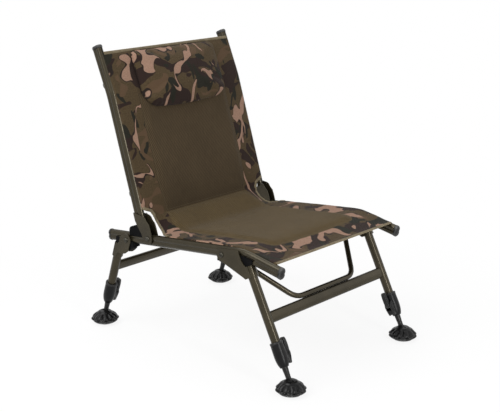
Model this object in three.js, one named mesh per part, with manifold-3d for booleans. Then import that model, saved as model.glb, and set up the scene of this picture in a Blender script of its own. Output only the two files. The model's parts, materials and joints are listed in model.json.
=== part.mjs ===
// Low folding fishing chair: extruded side rails, sewn cover, plate hinges and four telescopic legs.
// Millimetres. x runs across the chair, the sitter faces -y and z is up. Left is the sitter's left (+x).
// The origin is on the ground, midway between the front and rear feet.
import * as THREE from 'three';
import { mergeVertices } from 'three/addons/utils/BufferGeometryUtils.js';
import Module from 'manifold-3d';

const wasm = await Module();
wasm.setup();

// Stance of the frame
const railSpacing = 480;
const railRearHeight = 275;
const seatPitch = 6.2;
const railRearLength = 503;
const railFrontLength = 120;
const railBendAngle = 16.7;
const railBendRadius = 180;
const backPivotStation = 157.5;
const rearLegStation = 71;
const frontLegSetback = 67;
const frontLegStation = railRearLength - frontLegSetback;
const runningGap = 0.3;
const cutOverrun = 4;

// Two-lobed rail extrusion with a bead channel
const railWidth = 19;
const railDepth = 31;
const railWall = 2.1;
const channelRadius = 3;
const channelMouth = 2.4;
const channelInset = 5;

// Backrest
const backLean = 17.7;
const backOffset = 22.8;
const backRailStart = 40;
const backLowerLength = 358;
const backUpperLength = 130;
const backBendAngle = 5.8;
const backBendRadius = 300;

// Rail end caps
const capLip = 0.8;
const capLength = 6;
const capCrown = 3;
const capPlugLength = 12;
const capLobeSteps = 7;

// Hinge plates, bolts and the stop block
const plateThickness = 3;
const plateHead = 17.5;
const plateLength = 76;
const clampBoltRise = 61;
const boltRadius = 4;
const boltHeadRadius = 7.5;
const boltHeadHeight = 4;
const nutRadius = 7;
const nutHeight = 5.5;
const stopRearReach = 66;
const stopHeight = 19;
const stopRun = 22;

// Leg frames
const legTubeRadius = 12;
const legTubeWall = 1.5;
const cheekThickness = 2.5;
const cheekHead = 17.2;
const ankleHeight = 24;
const tubeFoot = 68;
const frontLegAngle = 27;
const frontLegOffset = 66;
const frontTubeDrop = 50;
const frontSocketLength = 29;
const frontBraceRise = 173;
const rearLegAngle = 18.1;
const rearLegOffset = 33.6;
const rearTubeDrop = 33;
const rearSocketLength = 39;
const rearBraceRise = 167;
const braceHeight = 30;
const braceThickness = 14;
const braceWall = 1.5;

// Saddle blocks under the rail at the leg pivots
const frontBlockRear = 14;
const frontBlockDepth = 23;
const frontBlockFront = 104;
const rearBlockFront = 25;
const rearBlockRear = 44;
const rearBlockDepth = 19.5;
const rearBlockDrop = 31;

// U-shaped spreader on the front leg frame
const spreaderRadius = 7;
const spreaderHalfRun = 118;
const spreaderCornerRadius = 45;
const spreaderTabThickness = 3;
const spreaderTabWidth = 18;
const spreaderTabLength = 34;
const spreaderTubeStart = 13;
const spreaderKnee = 26;

// Spreader bars behind the back cover
const backBarRadius = 8;
const backBarBow = 34;
const backBarKnee = 34;
const backBarBendRadius = 60;
const lowerBackBarStation = 86;
const upperBackBarStation = 392;
const lugThickness = 3;
const lugWidth = 22;
const lugLength = 46;
const rivetRadius = 4.5;

// Telescopic inner leg
const innerLegRadius = 8;
const innerLegWall = 1.5;
const innerLegTop = 200;
const innerLegTaperTop = 40;
const innerLegTaperFoot = 20;
const bladeThickness = 6;
const bladeRadius = 6.5;

// Clamp sleeve and cam lever
const sleeveFoot = 44;
const sleeveTop = 112;
const sleeveRadius = 17;
const pivotRise = 76;
const pivotReach = 21.6;
const leverWidth = 13.4;
const leverTop = 116;
const leverDepth = 7.5;
const camRadius = 4.3;
const pinRadius = 2;
const earThickness = 3;
const earRadius = 5.6;
const sleeveSlot = 2.6;

// Mud foot
const footRadius = 40;
const footHeight = 36;
const footRim = 12.5;
const footHollow = 8;
const footLobes = 10;
const footLobeShare = 0.055;
const footSlotLength = 38;
const anklePinRadius = 2.6;

// Cover, centre pads and headrest
const coverThickness = 2.4;
const coverOverhang = 1.4;
const coverWaist = 207;
const creaseRise = 56;
const creaseSetback = 0.8;
const rampStation = 215;
const hemInset = 15;
const seatSag = 6;
const backSag = 3;
const padHalfWidth = 174;
const padRise = 6.5;
const padUnder = 4;
const padEdge = 26;
const seatPadInset = 46;
const seatPadBow = 8;
const padUnderPillow = 45;
const notchRun = 16;
const beadRadius = 2.3;
const beadWeb = 1.4;
const pillowHalfWidth = 160;
const pillowHeight = 164;
const pillowThickness = 30;
const pillowUpperCorner = 16;
const pillowLowerCorner = 46;
const pillowTopInset = 8;
const pillowGap = 0.8;

const oliveMetal = { color: 0x57533f, roughness: 0.42, metalness: 0.55 };
const blackPlastic = { color: 0x1b1b1c, roughness: 0.6, metalness: 0 };
const blackMetal = { color: 0x202020, roughness: 0.45, metalness: 0.5 };
const brightSteel = { color: 0xb9bcbf, roughness: 0.3, metalness: 0.9 };
const darkSteel = { color: 0x53524c, roughness: 0.4, metalness: 0.8 };
const camoCloth = { color: 0x6b5a48, roughness: 0.95, metalness: 0 };
const oliveCloth = { color: 0x5c5139, roughness: 0.95, metalness: 0 };

const xAxis = new THREE.Vector3(1, 0, 0);
const yAxis = new THREE.Vector3(0, 1, 0);
const zAxis = new THREE.Vector3(0, 0, 1);
const rad = THREE.MathUtils.degToRad;
const halfSpacing = railSpacing / 2;
const railHalfWidth = railWidth / 2;
const railHalfDepth = railDepth / 2;
const lobeLift = railHalfDepth - railHalfWidth;

// A path of straight runs and round bends in one plane. Its stations are the ends of the runs and the
// steps of the bends, and its frames keep one fixed side vector, so a section never twists along it.
class BentPath extends THREE.Curve {
  constructor(corners, bendRadii, side, bendSteps = 4) {
    super();
    this.side = side;
    this.points = [corners[0].clone()];
    this.tangents = [corners[1].clone().sub(corners[0]).normalize()];
    for (let i = 1; i < corners.length - 1; i += 1) {
      this.addBend(corners[i - 1], corners[i], corners[i + 1], bendRadii[i - 1], bendSteps);
    }
    const last = corners.length - 1;
    this.points.push(corners[last].clone());
    this.tangents.push(corners[last].clone().sub(corners[last - 1]).normalize());
    this.distances = [0];
    for (let i = 1; i < this.points.length; i += 1) {
      this.distances.push(this.distances[i - 1] + this.points[i].distanceTo(this.points[i - 1]));
    }
  }

  addBend(before, corner, after, radius, bendSteps) {
    const into = corner.clone().sub(before).normalize();
    const out = after.clone().sub(corner).normalize();
    const angle = into.angleTo(out);
    const setback = radius * Math.tan(angle / 2);
    const start = corner.clone().addScaledVector(into, -setback);
    const inward = out.clone().addScaledVector(into, -out.dot(into)).normalize();
    for (let step = 0; step <= bendSteps; step += 1) {
      const turned = (angle * step) / bendSteps;
      this.points.push(start.clone()
        .addScaledVector(into, radius * Math.sin(turned))
        .addScaledVector(inward, radius * (1 - Math.cos(turned))));
      this.tangents.push(into.clone().multiplyScalar(Math.cos(turned))
        .addScaledVector(inward, Math.sin(turned)));
    }
  }

  get length() {
    return this.distances[this.distances.length - 1];
  }

  getPoint(t, target = new THREE.Vector3()) {
    const place = t * (this.points.length - 1);
    const index = Math.min(Math.floor(place), this.points.length - 2);
    return target.lerpVectors(this.points[index], this.points[index + 1], place - index);
  }

  getPointAt(u, target) {
    return this.getPoint(u, target);
  }

  computeFrenetFrames(segments) {
    const tangents = [];
    const binormals = [];
    for (let i = 0; i <= segments; i += 1) {
      const tangent = this.tangents[Math.round((i / segments) * (this.tangents.length - 1))];
      tangents.push(tangent);
      binormals.push(tangent.clone().cross(this.side).normalize());
    }
    return { tangents, normals: tangents.map(() => this.side), binormals };
  }

  // The point at a distance along the path, lifted to the side that faces the sitter
  at(distance, lift = 0) {
    let index = 0;
    while (index < this.points.length - 2 && this.distances[index + 1] < distance) index += 1;
    const run = this.distances[index + 1] - this.distances[index];
    const share = (distance - this.distances[index]) / run;
    const point = new THREE.Vector3().lerpVectors(this.points[index], this.points[index + 1], share);
    return point.addScaledVector(this.upAt(distance), lift);
  }

  upAt(distance) {
    let index = 0;
    while (index < this.points.length - 2 && this.distances[index + 1] < distance) index += 1;
    const run = this.distances[index + 1] - this.distances[index];
    const share = THREE.MathUtils.clamp((distance - this.distances[index]) / run, 0, 1);
    const tangent = new THREE.Vector3().lerpVectors(this.tangents[index], this.tangents[index + 1], share);
    return tangent.cross(this.side).normalize();
  }
}

function toSolid(geometry) {
  const bare = geometry.clone();
  bare.deleteAttribute('normal');
  bare.deleteAttribute('uv');
  const merged = mergeVertices(bare, 1e-4);
  return new wasm.Manifold(new wasm.Mesh({
    numProp: 3,
    vertProperties: new Float32Array(merged.attributes.position.array),
    triVerts: new Uint32Array(merged.index.array),
  }));
}

function toGeometry(solid) {
  const mesh = solid.getMesh();
  const geometry = new THREE.BufferGeometry();
  geometry.setAttribute('position', new THREE.BufferAttribute(new Float32Array(mesh.vertProperties), 3));
  geometry.setIndex(new THREE.BufferAttribute(new Uint32Array(mesh.triVerts), 1));
  geometry.computeVertexNormals();
  return geometry;
}

function cut(base, ...tools) {
  return toGeometry(tools.reduce((solid, tool) => solid.subtract(toSolid(tool)), toSolid(base)));
}

function join(base, ...others) {
  return toGeometry(others.reduce((solid, other) => solid.add(toSolid(other)), toSolid(base)));
}

// The mirror image of a piece across the centre plane
function mirrored(geometry) {
  const copy = geometry.index ? geometry.toNonIndexed() : geometry.clone();
  copy.scale(-1, 1, 1);
  const position = copy.attributes.position;
  const swap = new THREE.Vector3();
  const other = new THREE.Vector3();
  for (let i = 0; i < position.count; i += 3) {
    swap.fromBufferAttribute(position, i + 1);
    other.fromBufferAttribute(position, i + 2);
    position.setXYZ(i + 1, other.x, other.y, other.z);
    position.setXYZ(i + 2, swap.x, swap.y, swap.z);
  }
  copy.computeVertexNormals();
  return copy;
}

// A shape from its outline, with round holes given as { x, y, radius }
function outlineShape(points, ...holes) {
  const wound = THREE.ShapeUtils.isClockWise(points) ? [...points].reverse() : points;
  const shape = new THREE.Shape(wound);
  holes.forEach((hole) => {
    const path = new THREE.Path();
    path.absarc(hole.x, hole.y, hole.radius, 0, 2 * Math.PI, true);
    shape.holes.push(path);
  });
  return shape;
}

// Places a shape drawn in (y, z) as a plate whose thickness runs along x from xLow to xHigh
function plate(shape, xLow, xHigh, curveSegments = 6) {
  const geometry = new THREE.ExtrudeGeometry(shape, {
    depth: xHigh - xLow, bevelEnabled: false, curveSegments,
  });
  geometry.applyMatrix4(new THREE.Matrix4().makeBasis(yAxis, zAxis, xAxis).setPosition(xLow, 0, 0));
  return geometry;
}

// A round bar along x, used for bolts, pins and their holes
function barAlongX(radius, xLow, xHigh, centre, sides = 12) {
  const geometry = new THREE.CylinderGeometry(radius, radius, xHigh - xLow, sides);
  geometry.rotateZ(Math.PI / 2);
  geometry.translate((xLow + xHigh) / 2, centre.y, centre.z);
  return geometry;
}

// A closed skin through rings that all have the same number of points
function loft(rings) {
  const count = rings[0].length;
  const points = rings.flat();
  const faces = [];
  for (let ring = 0; ring < rings.length - 1; ring += 1) {
    for (let i = 0; i < count; i += 1) {
      const a = ring * count + i;
      const b = ring * count + ((i + 1) % count);
      faces.push(a, b, b + count, a, b + count, a + count);
    }
  }
  const ends = [rings[0], rings[rings.length - 1]];
  ends.forEach((ring, end) => {
    const centre = ring.reduce((sum, point) => sum.add(point), new THREE.Vector3()).divideScalar(count);
    points.push(centre);
    const start = end === 0 ? 0 : (rings.length - 1) * count;
    for (let i = 0; i < count; i += 1) {
      const a = start + i;
      const b = start + ((i + 1) % count);
      faces.push(...(end === 0 ? [b, a, points.length - 1] : [a, b, points.length - 1]));
    }
  });
  const geometry = new THREE.BufferGeometry().setFromPoints(points);
  geometry.setIndex(faces);
  geometry.computeVertexNormals();
  return geometry;
}

function arcPoints(centreX, centreY, radius, from, to, steps) {
  const points = [];
  for (let i = 0; i <= steps; i += 1) {
    const angle = from + ((to - from) * i) / steps;
    points.push(new THREE.Vector2(centreX + radius * Math.cos(angle), centreY + radius * Math.sin(angle)));
  }
  return points;
}

// The two-lobed outline, grown by a clearance, without its bead channel
function lobedOutline(growth, steps) {
  const radius = railHalfWidth + growth;
  const waist = Math.asin(lobeLift / radius);
  const upper = arcPoints(0, lobeLift, radius, -waist, Math.PI + waist, steps);
  const lower = arcPoints(0, -lobeLift, radius, Math.PI - waist, 2 * Math.PI + waist, steps);
  return [...upper, ...lower.slice(1, -1)];
}

function railSection() {
  const waist = Math.asin(lobeLift / railHalfWidth);
  const mouth = Math.asin(channelMouth / 2 / railHalfWidth);
  const bore = Math.asin(channelMouth / 2 / channelRadius);
  const channelLift = railHalfDepth - channelInset;
  const quarter = Math.PI / 2;
  const outline = [
    ...arcPoints(0, lobeLift, railHalfWidth, -waist, quarter - mouth, 5),
    ...arcPoints(0, channelLift, channelRadius, quarter - bore, bore - 3 * quarter, 7),
    ...arcPoints(0, lobeLift, railHalfWidth, quarter + mouth, Math.PI + waist, 5),
    ...arcPoints(0, -lobeLift, railHalfWidth, Math.PI - waist, 2 * Math.PI + waist, 9).slice(1, -1),
  ];
  return outlineShape(outline, { x: 0, y: -lobeLift, radius: railHalfWidth - railWall });
}

function sweep(shape, path, curveSegments = 5) {
  return new THREE.ExtrudeGeometry(shape, {
    steps: path.points.length - 1, extrudePath: path, curveSegments,
  });
}

function circleShape(radius) {
  const shape = new THREE.Shape();
  shape.absarc(0, 0, radius, 0, 2 * Math.PI, false);
  return shape;
}

// Seat rail line, from its rear end forward
const seatForward = new THREE.Vector3(0, -Math.cos(rad(seatPitch)), Math.sin(rad(seatPitch)));
const frontForward = seatForward.clone().applyAxisAngle(xAxis, rad(railBendAngle));
const railCorner = new THREE.Vector3(0, 0, railRearHeight).addScaledVector(seatForward, railRearLength);
const seatCorners = [
  new THREE.Vector3(0, 0, railRearHeight),
  railCorner,
  railCorner.clone().addScaledVector(frontForward, railFrontLength),
];
const seatPath = new BentPath(seatCorners, [railBendRadius], xAxis);
const backPivot = seatPath.at(backPivotStation, lobeLift);
const rearLegPivot = seatPath.at(rearLegStation, -lobeLift);
const frontLegPivot = seatPath.at(frontLegStation, -lobeLift);

// Back rail line, from its top end down; its lift faces the sitter
const backUp = new THREE.Vector3(0, Math.sin(rad(backLean)), Math.cos(rad(backLean)));
const backTopUp = backUp.clone().applyAxisAngle(xAxis, -rad(backBendAngle));
const backRearward = new THREE.Vector3(0, backUp.z, -backUp.y);
const backFoot = backPivot.clone()
  .addScaledVector(backUp, backRailStart)
  .addScaledVector(backRearward, backOffset);
const backKink = backFoot.clone().addScaledVector(backUp, backLowerLength);
const backCorners = [backKink.clone().addScaledVector(backTopUp, backUpperLength), backKink, backFoot];
const backPath = new BentPath(backCorners, [backBendRadius], xAxis);
const clampPlace = backPath.at(backPath.length - (clampBoltRise - backRailStart), lobeLift);

// A leg frame is drawn in its own frame: origin at the ankle, z up along the leg
function legFrame(pivot, degrees, offset, toward) {
  const angle = rad(degrees);
  const down = new THREE.Vector3(0, toward * Math.sin(angle), -Math.cos(angle));
  const across = new THREE.Vector3(0, toward * Math.cos(angle), Math.sin(angle));
  const head = pivot.clone().addScaledVector(across, offset);
  const legLength = (head.z - ankleHeight) / Math.cos(angle);
  const ankle = head.clone().addScaledVector(down, legLength);
  return {
    pivot, offset, toward, down, across, legLength, ankle, turn: toward * angle,
    // a runs from the pivot across to the leg, t runs down along the leg
    point: (a, t) => pivot.clone().addScaledVector(across, a).addScaledVector(down, t),
    local: (a, t) => new THREE.Vector2(toward * (a - offset), legLength - t),
  };
}

const frontLegs = legFrame(frontLegPivot, frontLegAngle, frontLegOffset, -1);
const rearLegs = legFrame(rearLegPivot, rearLegAngle, rearLegOffset, 1);

const flat = (point) => new THREE.Vector2(point.y, point.z);
const boltHole = boltRadius + runningGap;
const plateInner = railHalfWidth + runningGap;
const cheekInner = legTubeRadius + runningGap;
const cheekOuter = cheekInner + cheekThickness;
const tabInner = cheekOuter + runningGap;
const tabOuter = tabInner + spreaderTabThickness;

function seatRail() {
  const holes = [backPivot, rearLegPivot, frontLegPivot]
    .map((pivot) => barAlongX(boltHole, -railWidth, railWidth, pivot));
  return cut(sweep(railSection(), seatPath), ...holes);
}

function backRail() {
  return cut(sweep(railSection(), backPath), barAlongX(boltHole, -railWidth, railWidth, clampPlace));
}

// A push-in cap: lipped crown outside the rail and a round plug in its chamber
function railCap(end, outward, up) {
  const side = up.clone().cross(outward);
  const seat = end.clone().addScaledVector(outward, runningGap);
  const ring = (growth, shrinkShare, rise) => lobedOutline(growth, capLobeSteps).map((point) => seat.clone()
    .addScaledVector(side, point.x * shrinkShare)
    .addScaledVector(up, point.y * shrinkShare)
    .addScaledVector(outward, rise));
  const crown = loft([
    ring(capLip, 1, 0),
    ring(capLip, 1, capLength),
    ring(capLip, 0.86, capLength + capCrown * 0.75),
    ring(capLip, 0.55, capLength + capCrown),
  ]);
  const plugRadius = railHalfWidth - railWall - 2 * runningGap;
  const plugReach = capPlugLength + capLength / 2;
  const plug = new THREE.CylinderGeometry(plugRadius, plugRadius, plugReach, 12);
  const tilt = new THREE.Quaternion().setFromUnitVectors(yAxis, outward);
  plug.applyQuaternion(tilt);
  const centre = seat.clone().addScaledVector(up, -lobeLift)
    .addScaledVector(outward, capLength / 2 - plugReach / 2);
  plug.translate(centre.x, centre.y, centre.z);
  return join(crown, plug);
}

// A screw along x whose hexagon head is at the inner end; it ends short of the outer plate
function screw(centre, xInner, xEnd) {
  return join(barAlongX(boltRadius, xInner - nutHeight / 2, xEnd, centre),
    barAlongX(nutRadius, xInner - nutHeight, xInner, centre, 6));
}

// A bolt along x with a domed head at the outer end and a hexagon nut at the inner end
function bolt(centre, xInner, xOuter) {
  const profile = [
    [0, xInner - nutHeight - boltHeadHeight / 4], [boltRadius, xInner - nutHeight - boltHeadHeight / 4],
    [boltRadius, xOuter], [boltHeadRadius, xOuter], [boltHeadRadius * 0.9, xOuter + boltHeadHeight * 0.5],
    [boltHeadRadius * 0.5, xOuter + boltHeadHeight], [0, xOuter + boltHeadHeight],
  ].map(([radius, x]) => new THREE.Vector2(radius, x));
  const shank = new THREE.LatheGeometry(profile, 10);
  shank.rotateZ(-Math.PI / 2);
  shank.translate(0, centre.y, centre.z);
  return join(shank, barAlongX(nutRadius, xInner - nutHeight, xInner, centre, 6));
}

// Hinge plate outline as shares of its length and head radius, along and behind the back rail line
const plateFrontShares = [[0.3, -1.0], [0.48, -0.93], [0.62, -0.55], [0.74, -0.4], [0.81, -0.05]];
const plateRearShares = [[1.0, 1.9], [0.7, 1.9], [0.57, 1.72], [0.2, 1.12]];

function hingePlate(xLow, xHigh, ...holePlaces) {
  const place = ([along, behind]) => flat(backPivot.clone()
    .addScaledVector(backUp, along * plateLength)
    .addScaledVector(backRearward, behind * plateHead));
  const centre = flat(backPivot);
  const lean = Math.atan2(backUp.z, backUp.y);
  const outline = [
    ...plateRearShares.map(place),
    ...arcPoints(centre.x, centre.y, plateHead, lean - Math.PI / 2, lean - 1.5 * Math.PI, 8),
    ...plateFrontShares.map(place),
  ];
  const holes = holePlaces.map((hole) => ({ x: hole.y, y: hole.z, radius: boltHole }));
  return plate(outlineShape(outline, ...holes), xLow, xHigh);
}

// Saddle outline that the blocks keep clear of
function railClearance(path) {
  return sweep(outlineShape(lobedOutline(runningGap, 9)), path);
}

// The hump of the stop as shares of its run along the rail and of its height
const humpShares = [[0, 0.24], [0.06, 0.6], [0.25, 0.88], [0.52, 1], [0.78, 0.9], [1, 0.7]];

// The stop behind the hinge: it sits on the rail and the back rail's end rests on it
function hingeStop() {
  const restStart = backPath.at(backPath.length + runningGap, -railHalfDepth);
  const restEnd = backPath.at(backPath.length + runningGap, -railHalfDepth * 0.1);
  const rear = backPivotStation - stopRearReach - plateHead * 0.5;
  const hump = humpShares.map(([along, rise]) => flat(seatPath.at(
    rear + along * stopRun, railHalfDepth + rise * stopHeight)));
  const shape = outlineShape([
    flat(seatPath.at(rear, lobeLift)),
    ...hump,
    flat(restStart),
    flat(restEnd),
    flat(seatPath.at(backPivotStation - plateHead * 0.9, lobeLift)),
  ]);
  const block = plate(shape, -railHalfWidth, railHalfWidth);
  return cut(block, railClearance(seatPath));
}

// The front block fills the wedge between the rail, the pivot and the top of the leg tube
function frontLegBlock() {
  const start = frontLegStation - frontBlockRear;
  const end = frontLegStation + frontBlockFront;
  const middle = (start + end) / 2;
  const stopDrop = frontTubeDrop - runningGap;
  const shape = outlineShape([
    flat(seatPath.at(start, 0)),
    flat(seatPath.at(start, -frontBlockDepth)),
    flat(frontLegs.point(frontLegOffset * 0.5, stopDrop * 0.8)),
    flat(frontLegs.point(frontLegOffset - legTubeRadius, stopDrop)),
    flat(frontLegs.point(frontLegOffset + legTubeRadius, stopDrop)),
    flat(seatPath.at(end, -railHalfDepth * 0.6)),
    flat(seatPath.at(end, 0)),
    flat(seatPath.at(end - frontBlockRear * 2, 0)),
    flat(seatPath.at(middle, 0)),
  ]);
  return finishBlock(shape, frontLegPivot);
}

function rearLegBlock() {
  const front = rearLegStation + rearBlockFront;
  const rear = rearLegStation - rearBlockRear;
  const stopDrop = rearTubeDrop - runningGap;
  const shape = outlineShape([
    flat(seatPath.at(front, -railHalfDepth * 0.6)),
    flat(seatPath.at(front, -lobeLift - rearBlockDepth)),
    flat(seatPath.at(rearLegStation + rearBlockFront * 0.66, -lobeLift - rearBlockDepth)),
    flat(seatPath.at(rearLegStation + rearBlockFront * 0.45, -lobeLift - rearBlockDrop * 0.88)),
    flat(seatPath.at(rearLegStation + rearBlockFront * 0.2, -lobeLift - rearBlockDrop)),
    flat(rearLegs.point(rearLegOffset * 0.3, stopDrop)),
    flat(rearLegs.point(rearLegOffset + legTubeRadius * 0.4, stopDrop)),
    flat(seatPath.at(rear, 0)),
  ]);
  return finishBlock(shape, rearLegPivot);
}

function finishBlock(shape, pivot) {
  const block = plate(shape, -legTubeRadius, legTubeRadius);
  return cut(block, railClearance(seatPath), barAlongX(boltHole, -railWidth, railWidth, pivot));
}

// Cheek outlines as shares of the pivot offset and of the socket's lower end, across and down the leg
const frontCheekShares = [
  [0.88, 0.04], [0.91, 0.12], [0.91, 0.4], [0.96, 0.56], [1.04, 0.635], [1.12, 0.635],
  [1.12, 1], [0.8, 1], [0.7, 0.9],
];
const rearCheekShares = [
  [0.66, -0.06], [0.75, 0.06], [0.75, 0.28], [0.9, 0.39], [1.18, 0.39],
  [1.18, 1], [0.8, 1], [0.7, 0.74], [0.15, 0.66], [-0.2, 0.56], [-0.46, 0.4],
];

// Two cheeks astride the rail, joined by the socket that holds the leg tube; drawn in the leg's frame
function legBracket(frame, tubeDrop, socketLength, cheekShares, arcStart, arcEnd) {
  const socketEnd = tubeDrop + socketLength;
  const centre = frame.local(0, 0);
  const outline = cheekShares.map(([across, down]) => frame.local(across * frame.offset, down * socketEnd));
  arcPoints(0, 0, cheekHead, arcStart, arcEnd, 8)
    .forEach((point) => outline.push(frame.local(point.x, point.y)));
  const shape = outlineShape(outline, { x: centre.x, y: centre.y, radius: boltHole });
  const top = frame.legLength - tubeDrop;
  const socket = new THREE.LatheGeometry([
    new THREE.Vector2(cheekInner, top - socketLength), new THREE.Vector2(cheekOuter, top - socketLength),
    new THREE.Vector2(cheekOuter, top), new THREE.Vector2(cheekInner, top),
    new THREE.Vector2(cheekInner, top - socketLength),
  ], 16);
  socket.rotateX(Math.PI / 2);
  return join(socket, plate(shape, cheekInner, cheekOuter), plate(shape, -cheekOuter, -cheekInner));
}

function legTube(frame, tubeDrop) {
  const top = frame.legLength - tubeDrop;
  const inner = legTubeRadius - legTubeWall;
  const tube = new THREE.LatheGeometry([
    new THREE.Vector2(inner, tubeFoot), new THREE.Vector2(legTubeRadius, tubeFoot),
    new THREE.Vector2(legTubeRadius, top), new THREE.Vector2(inner, top),
    new THREE.Vector2(inner, tubeFoot),
  ], 16);
  tube.rotateX(Math.PI / 2);
  return tube;
}

// An oval cross tube with saddle-cut ends
function crossBrace(rise) {
  const flatHalf = braceHeight / 2 - braceThickness / 2;
  const oval = (radius) => outlineShape([
    ...arcPoints(0, rise + flatHalf, radius, 0, Math.PI, 6),
    ...arcPoints(0, rise - flatHalf, radius, Math.PI, 2 * Math.PI, 6),
  ]);
  const bar = plate(oval(braceThickness / 2), -halfSpacing, halfSpacing);
  const bore = plate(oval(braceThickness / 2 - braceWall), -railSpacing, railSpacing);
  const notch = new THREE.CylinderGeometry(legTubeRadius + runningGap, legTubeRadius + runningGap,
    braceHeight + cutOverrun, 16);
  notch.rotateX(Math.PI / 2);
  const left = notch.clone().translate(halfSpacing, 0, rise);
  const right = notch.clone().translate(-halfSpacing, 0, rise);
  return cut(bar, bore, left, right);
}

// The U-shaped spreader hangs on the front pivot bolts and lies along the top of the brace
function spreaderBar() {
  const pivot = frontLegs.local(0, 0);
  const bottom = new THREE.Vector2(0, frontBraceRise + braceHeight / 2 + spreaderRadius + runningGap);
  const reach = pivot.distanceTo(bottom);
  const down = bottom.clone().sub(pivot).normalize();
  const place = (x, distance) => new THREE.Vector3(
    x, pivot.x + down.x * distance, pivot.y + down.y * distance);
  const tubeX = halfSpacing - tabInner - spreaderRadius;
  const side = xAxis.clone().cross(new THREE.Vector3(0, down.x, down.y)).normalize();
  const path = new BentPath([
    place(tubeX, spreaderTubeStart), place(tubeX, spreaderKnee), place(spreaderHalfRun, reach),
    place(-spreaderHalfRun, reach), place(-tubeX, spreaderKnee), place(-tubeX, spreaderTubeStart),
  ], [spreaderKnee, spreaderCornerRadius, spreaderCornerRadius, spreaderKnee], side);
  const tab = (xLow, xHigh) => {
    const halfWidth = spreaderTabWidth / 2;
    const slope = Math.atan2(down.y, down.x);
    const outline = arcPoints(pivot.x, pivot.y, halfWidth, slope + Math.PI / 2, slope + 1.5 * Math.PI, 8);
    const end = pivot.clone().addScaledVector(down, spreaderTabLength);
    const sideways = new THREE.Vector2(-down.y, down.x);
    outline.push(end.clone().addScaledVector(sideways, -halfWidth * 0.6));
    outline.push(end.clone().addScaledVector(sideways, halfWidth * 0.6));
    const shape = outlineShape(outline, { x: pivot.x, y: pivot.y, radius: boltHole });
    return plate(shape, xLow, xHigh);
  };
  return join(sweep(circleShape(spreaderRadius), path, 5),
    tab(halfSpacing - tabOuter, halfSpacing - tabInner),
    tab(tabInner - halfSpacing, tabOuter - halfSpacing));
}

// A bowed bar behind the fabric with a flat lug and rivet on each back rail
function backBar(station) {
  const lift = -lobeLift;
  const end = backPath.at(station, lift);
  const rearward = backPath.upAt(station).negate();
  const lugFace = halfSpacing - railHalfWidth - runningGap;
  const tubeEnd = lugFace - lugThickness / 2;
  const place = (x, distance) => end.clone().addScaledVector(rearward, distance).setX(x);
  const clear = lugWidth / 2 + backBarRadius;
  const side = rearward.clone().cross(xAxis).normalize();
  const path = new BentPath([
    place(tubeEnd, clear), place(tubeEnd - backBarKnee, clear + backBarBow),
    place(backBarKnee - tubeEnd, clear + backBarBow), place(-tubeEnd, clear),
  ], [backBarBendRadius, backBarBendRadius], side);
  const along = side.clone();
  const lug = (sign) => {
    const halfWidth = lugWidth / 2;
    const corner = (forward, sideways) => end.clone()
      .addScaledVector(rearward, forward).addScaledVector(along, sideways);
    const shape = outlineShape([
      corner(-halfWidth * 0.8, -halfWidth), corner(-halfWidth * 0.8, halfWidth),
      corner(clear, halfWidth), corner(lugLength * 0.62, halfWidth * 0.5),
      corner(lugLength * 0.62, -halfWidth * 0.5), corner(clear, -halfWidth),
    ].map(flat));
    const low = sign > 0 ? lugFace - lugThickness : -lugFace;
    const rivetLow = sign > 0 ? lugFace - lugThickness * 2 : -lugFace + lugThickness / 2;
    return join(plate(shape, low, low + lugThickness),
      barAlongX(rivetRadius, rivetLow, rivetLow + lugThickness * 1.5, end, 8));
  };
  return join(sweep(circleShape(backBarRadius), path, 5), lug(1), lug(-1));
}

// Inner leg: a tube that tapers to a flat blade round the ankle pin
function innerLeg() {
  const bore = innerLegRadius - innerLegWall;
  const body = new THREE.LatheGeometry([
    new THREE.Vector2(0, innerLegTaperFoot), new THREE.Vector2(bladeRadius, innerLegTaperFoot),
    new THREE.Vector2(innerLegRadius, innerLegTaperTop), new THREE.Vector2(innerLegRadius, innerLegTop),
    new THREE.Vector2(bore, innerLegTop), new THREE.Vector2(bore, innerLegTaperTop),
    new THREE.Vector2(0, innerLegTaperTop),
  ], 12);
  body.rotateX(Math.PI / 2);
  const outline = arcPoints(0, 0, bladeRadius, Math.PI, 2 * Math.PI, 6);
  const bladeTop = innerLegTaperFoot + (innerLegTaperTop - innerLegTaperFoot) / 2;
  outline.push(new THREE.Vector2(bladeRadius, bladeTop), new THREE.Vector2(-bladeRadius, bladeTop));
  const shape = outlineShape(outline, { x: 0, y: 0, radius: anklePinRadius + runningGap });
  return join(body, plate(shape, -bladeThickness / 2, bladeThickness / 2, 4));
}

// Sleeve wall as shares of its length and radius
const sleeveShares = [[0, 0.62], [0.1, 0.78], [0.26, 0.95], [0.5, 1], [0.78, 0.97], [1, 0.9]];

// A shape drawn in (x, z) as a plate whose thickness runs along y from yLow to yHigh
function crossPlate(shape, yLow, yHigh, curveSegments = 4) {
  const geometry = new THREE.ExtrudeGeometry(shape, {
    depth: yHigh - yLow, bevelEnabled: false, curveSegments,
  });
  geometry.rotateX(Math.PI / 2);
  geometry.translate(0, yHigh, 0);
  return geometry;
}

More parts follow.
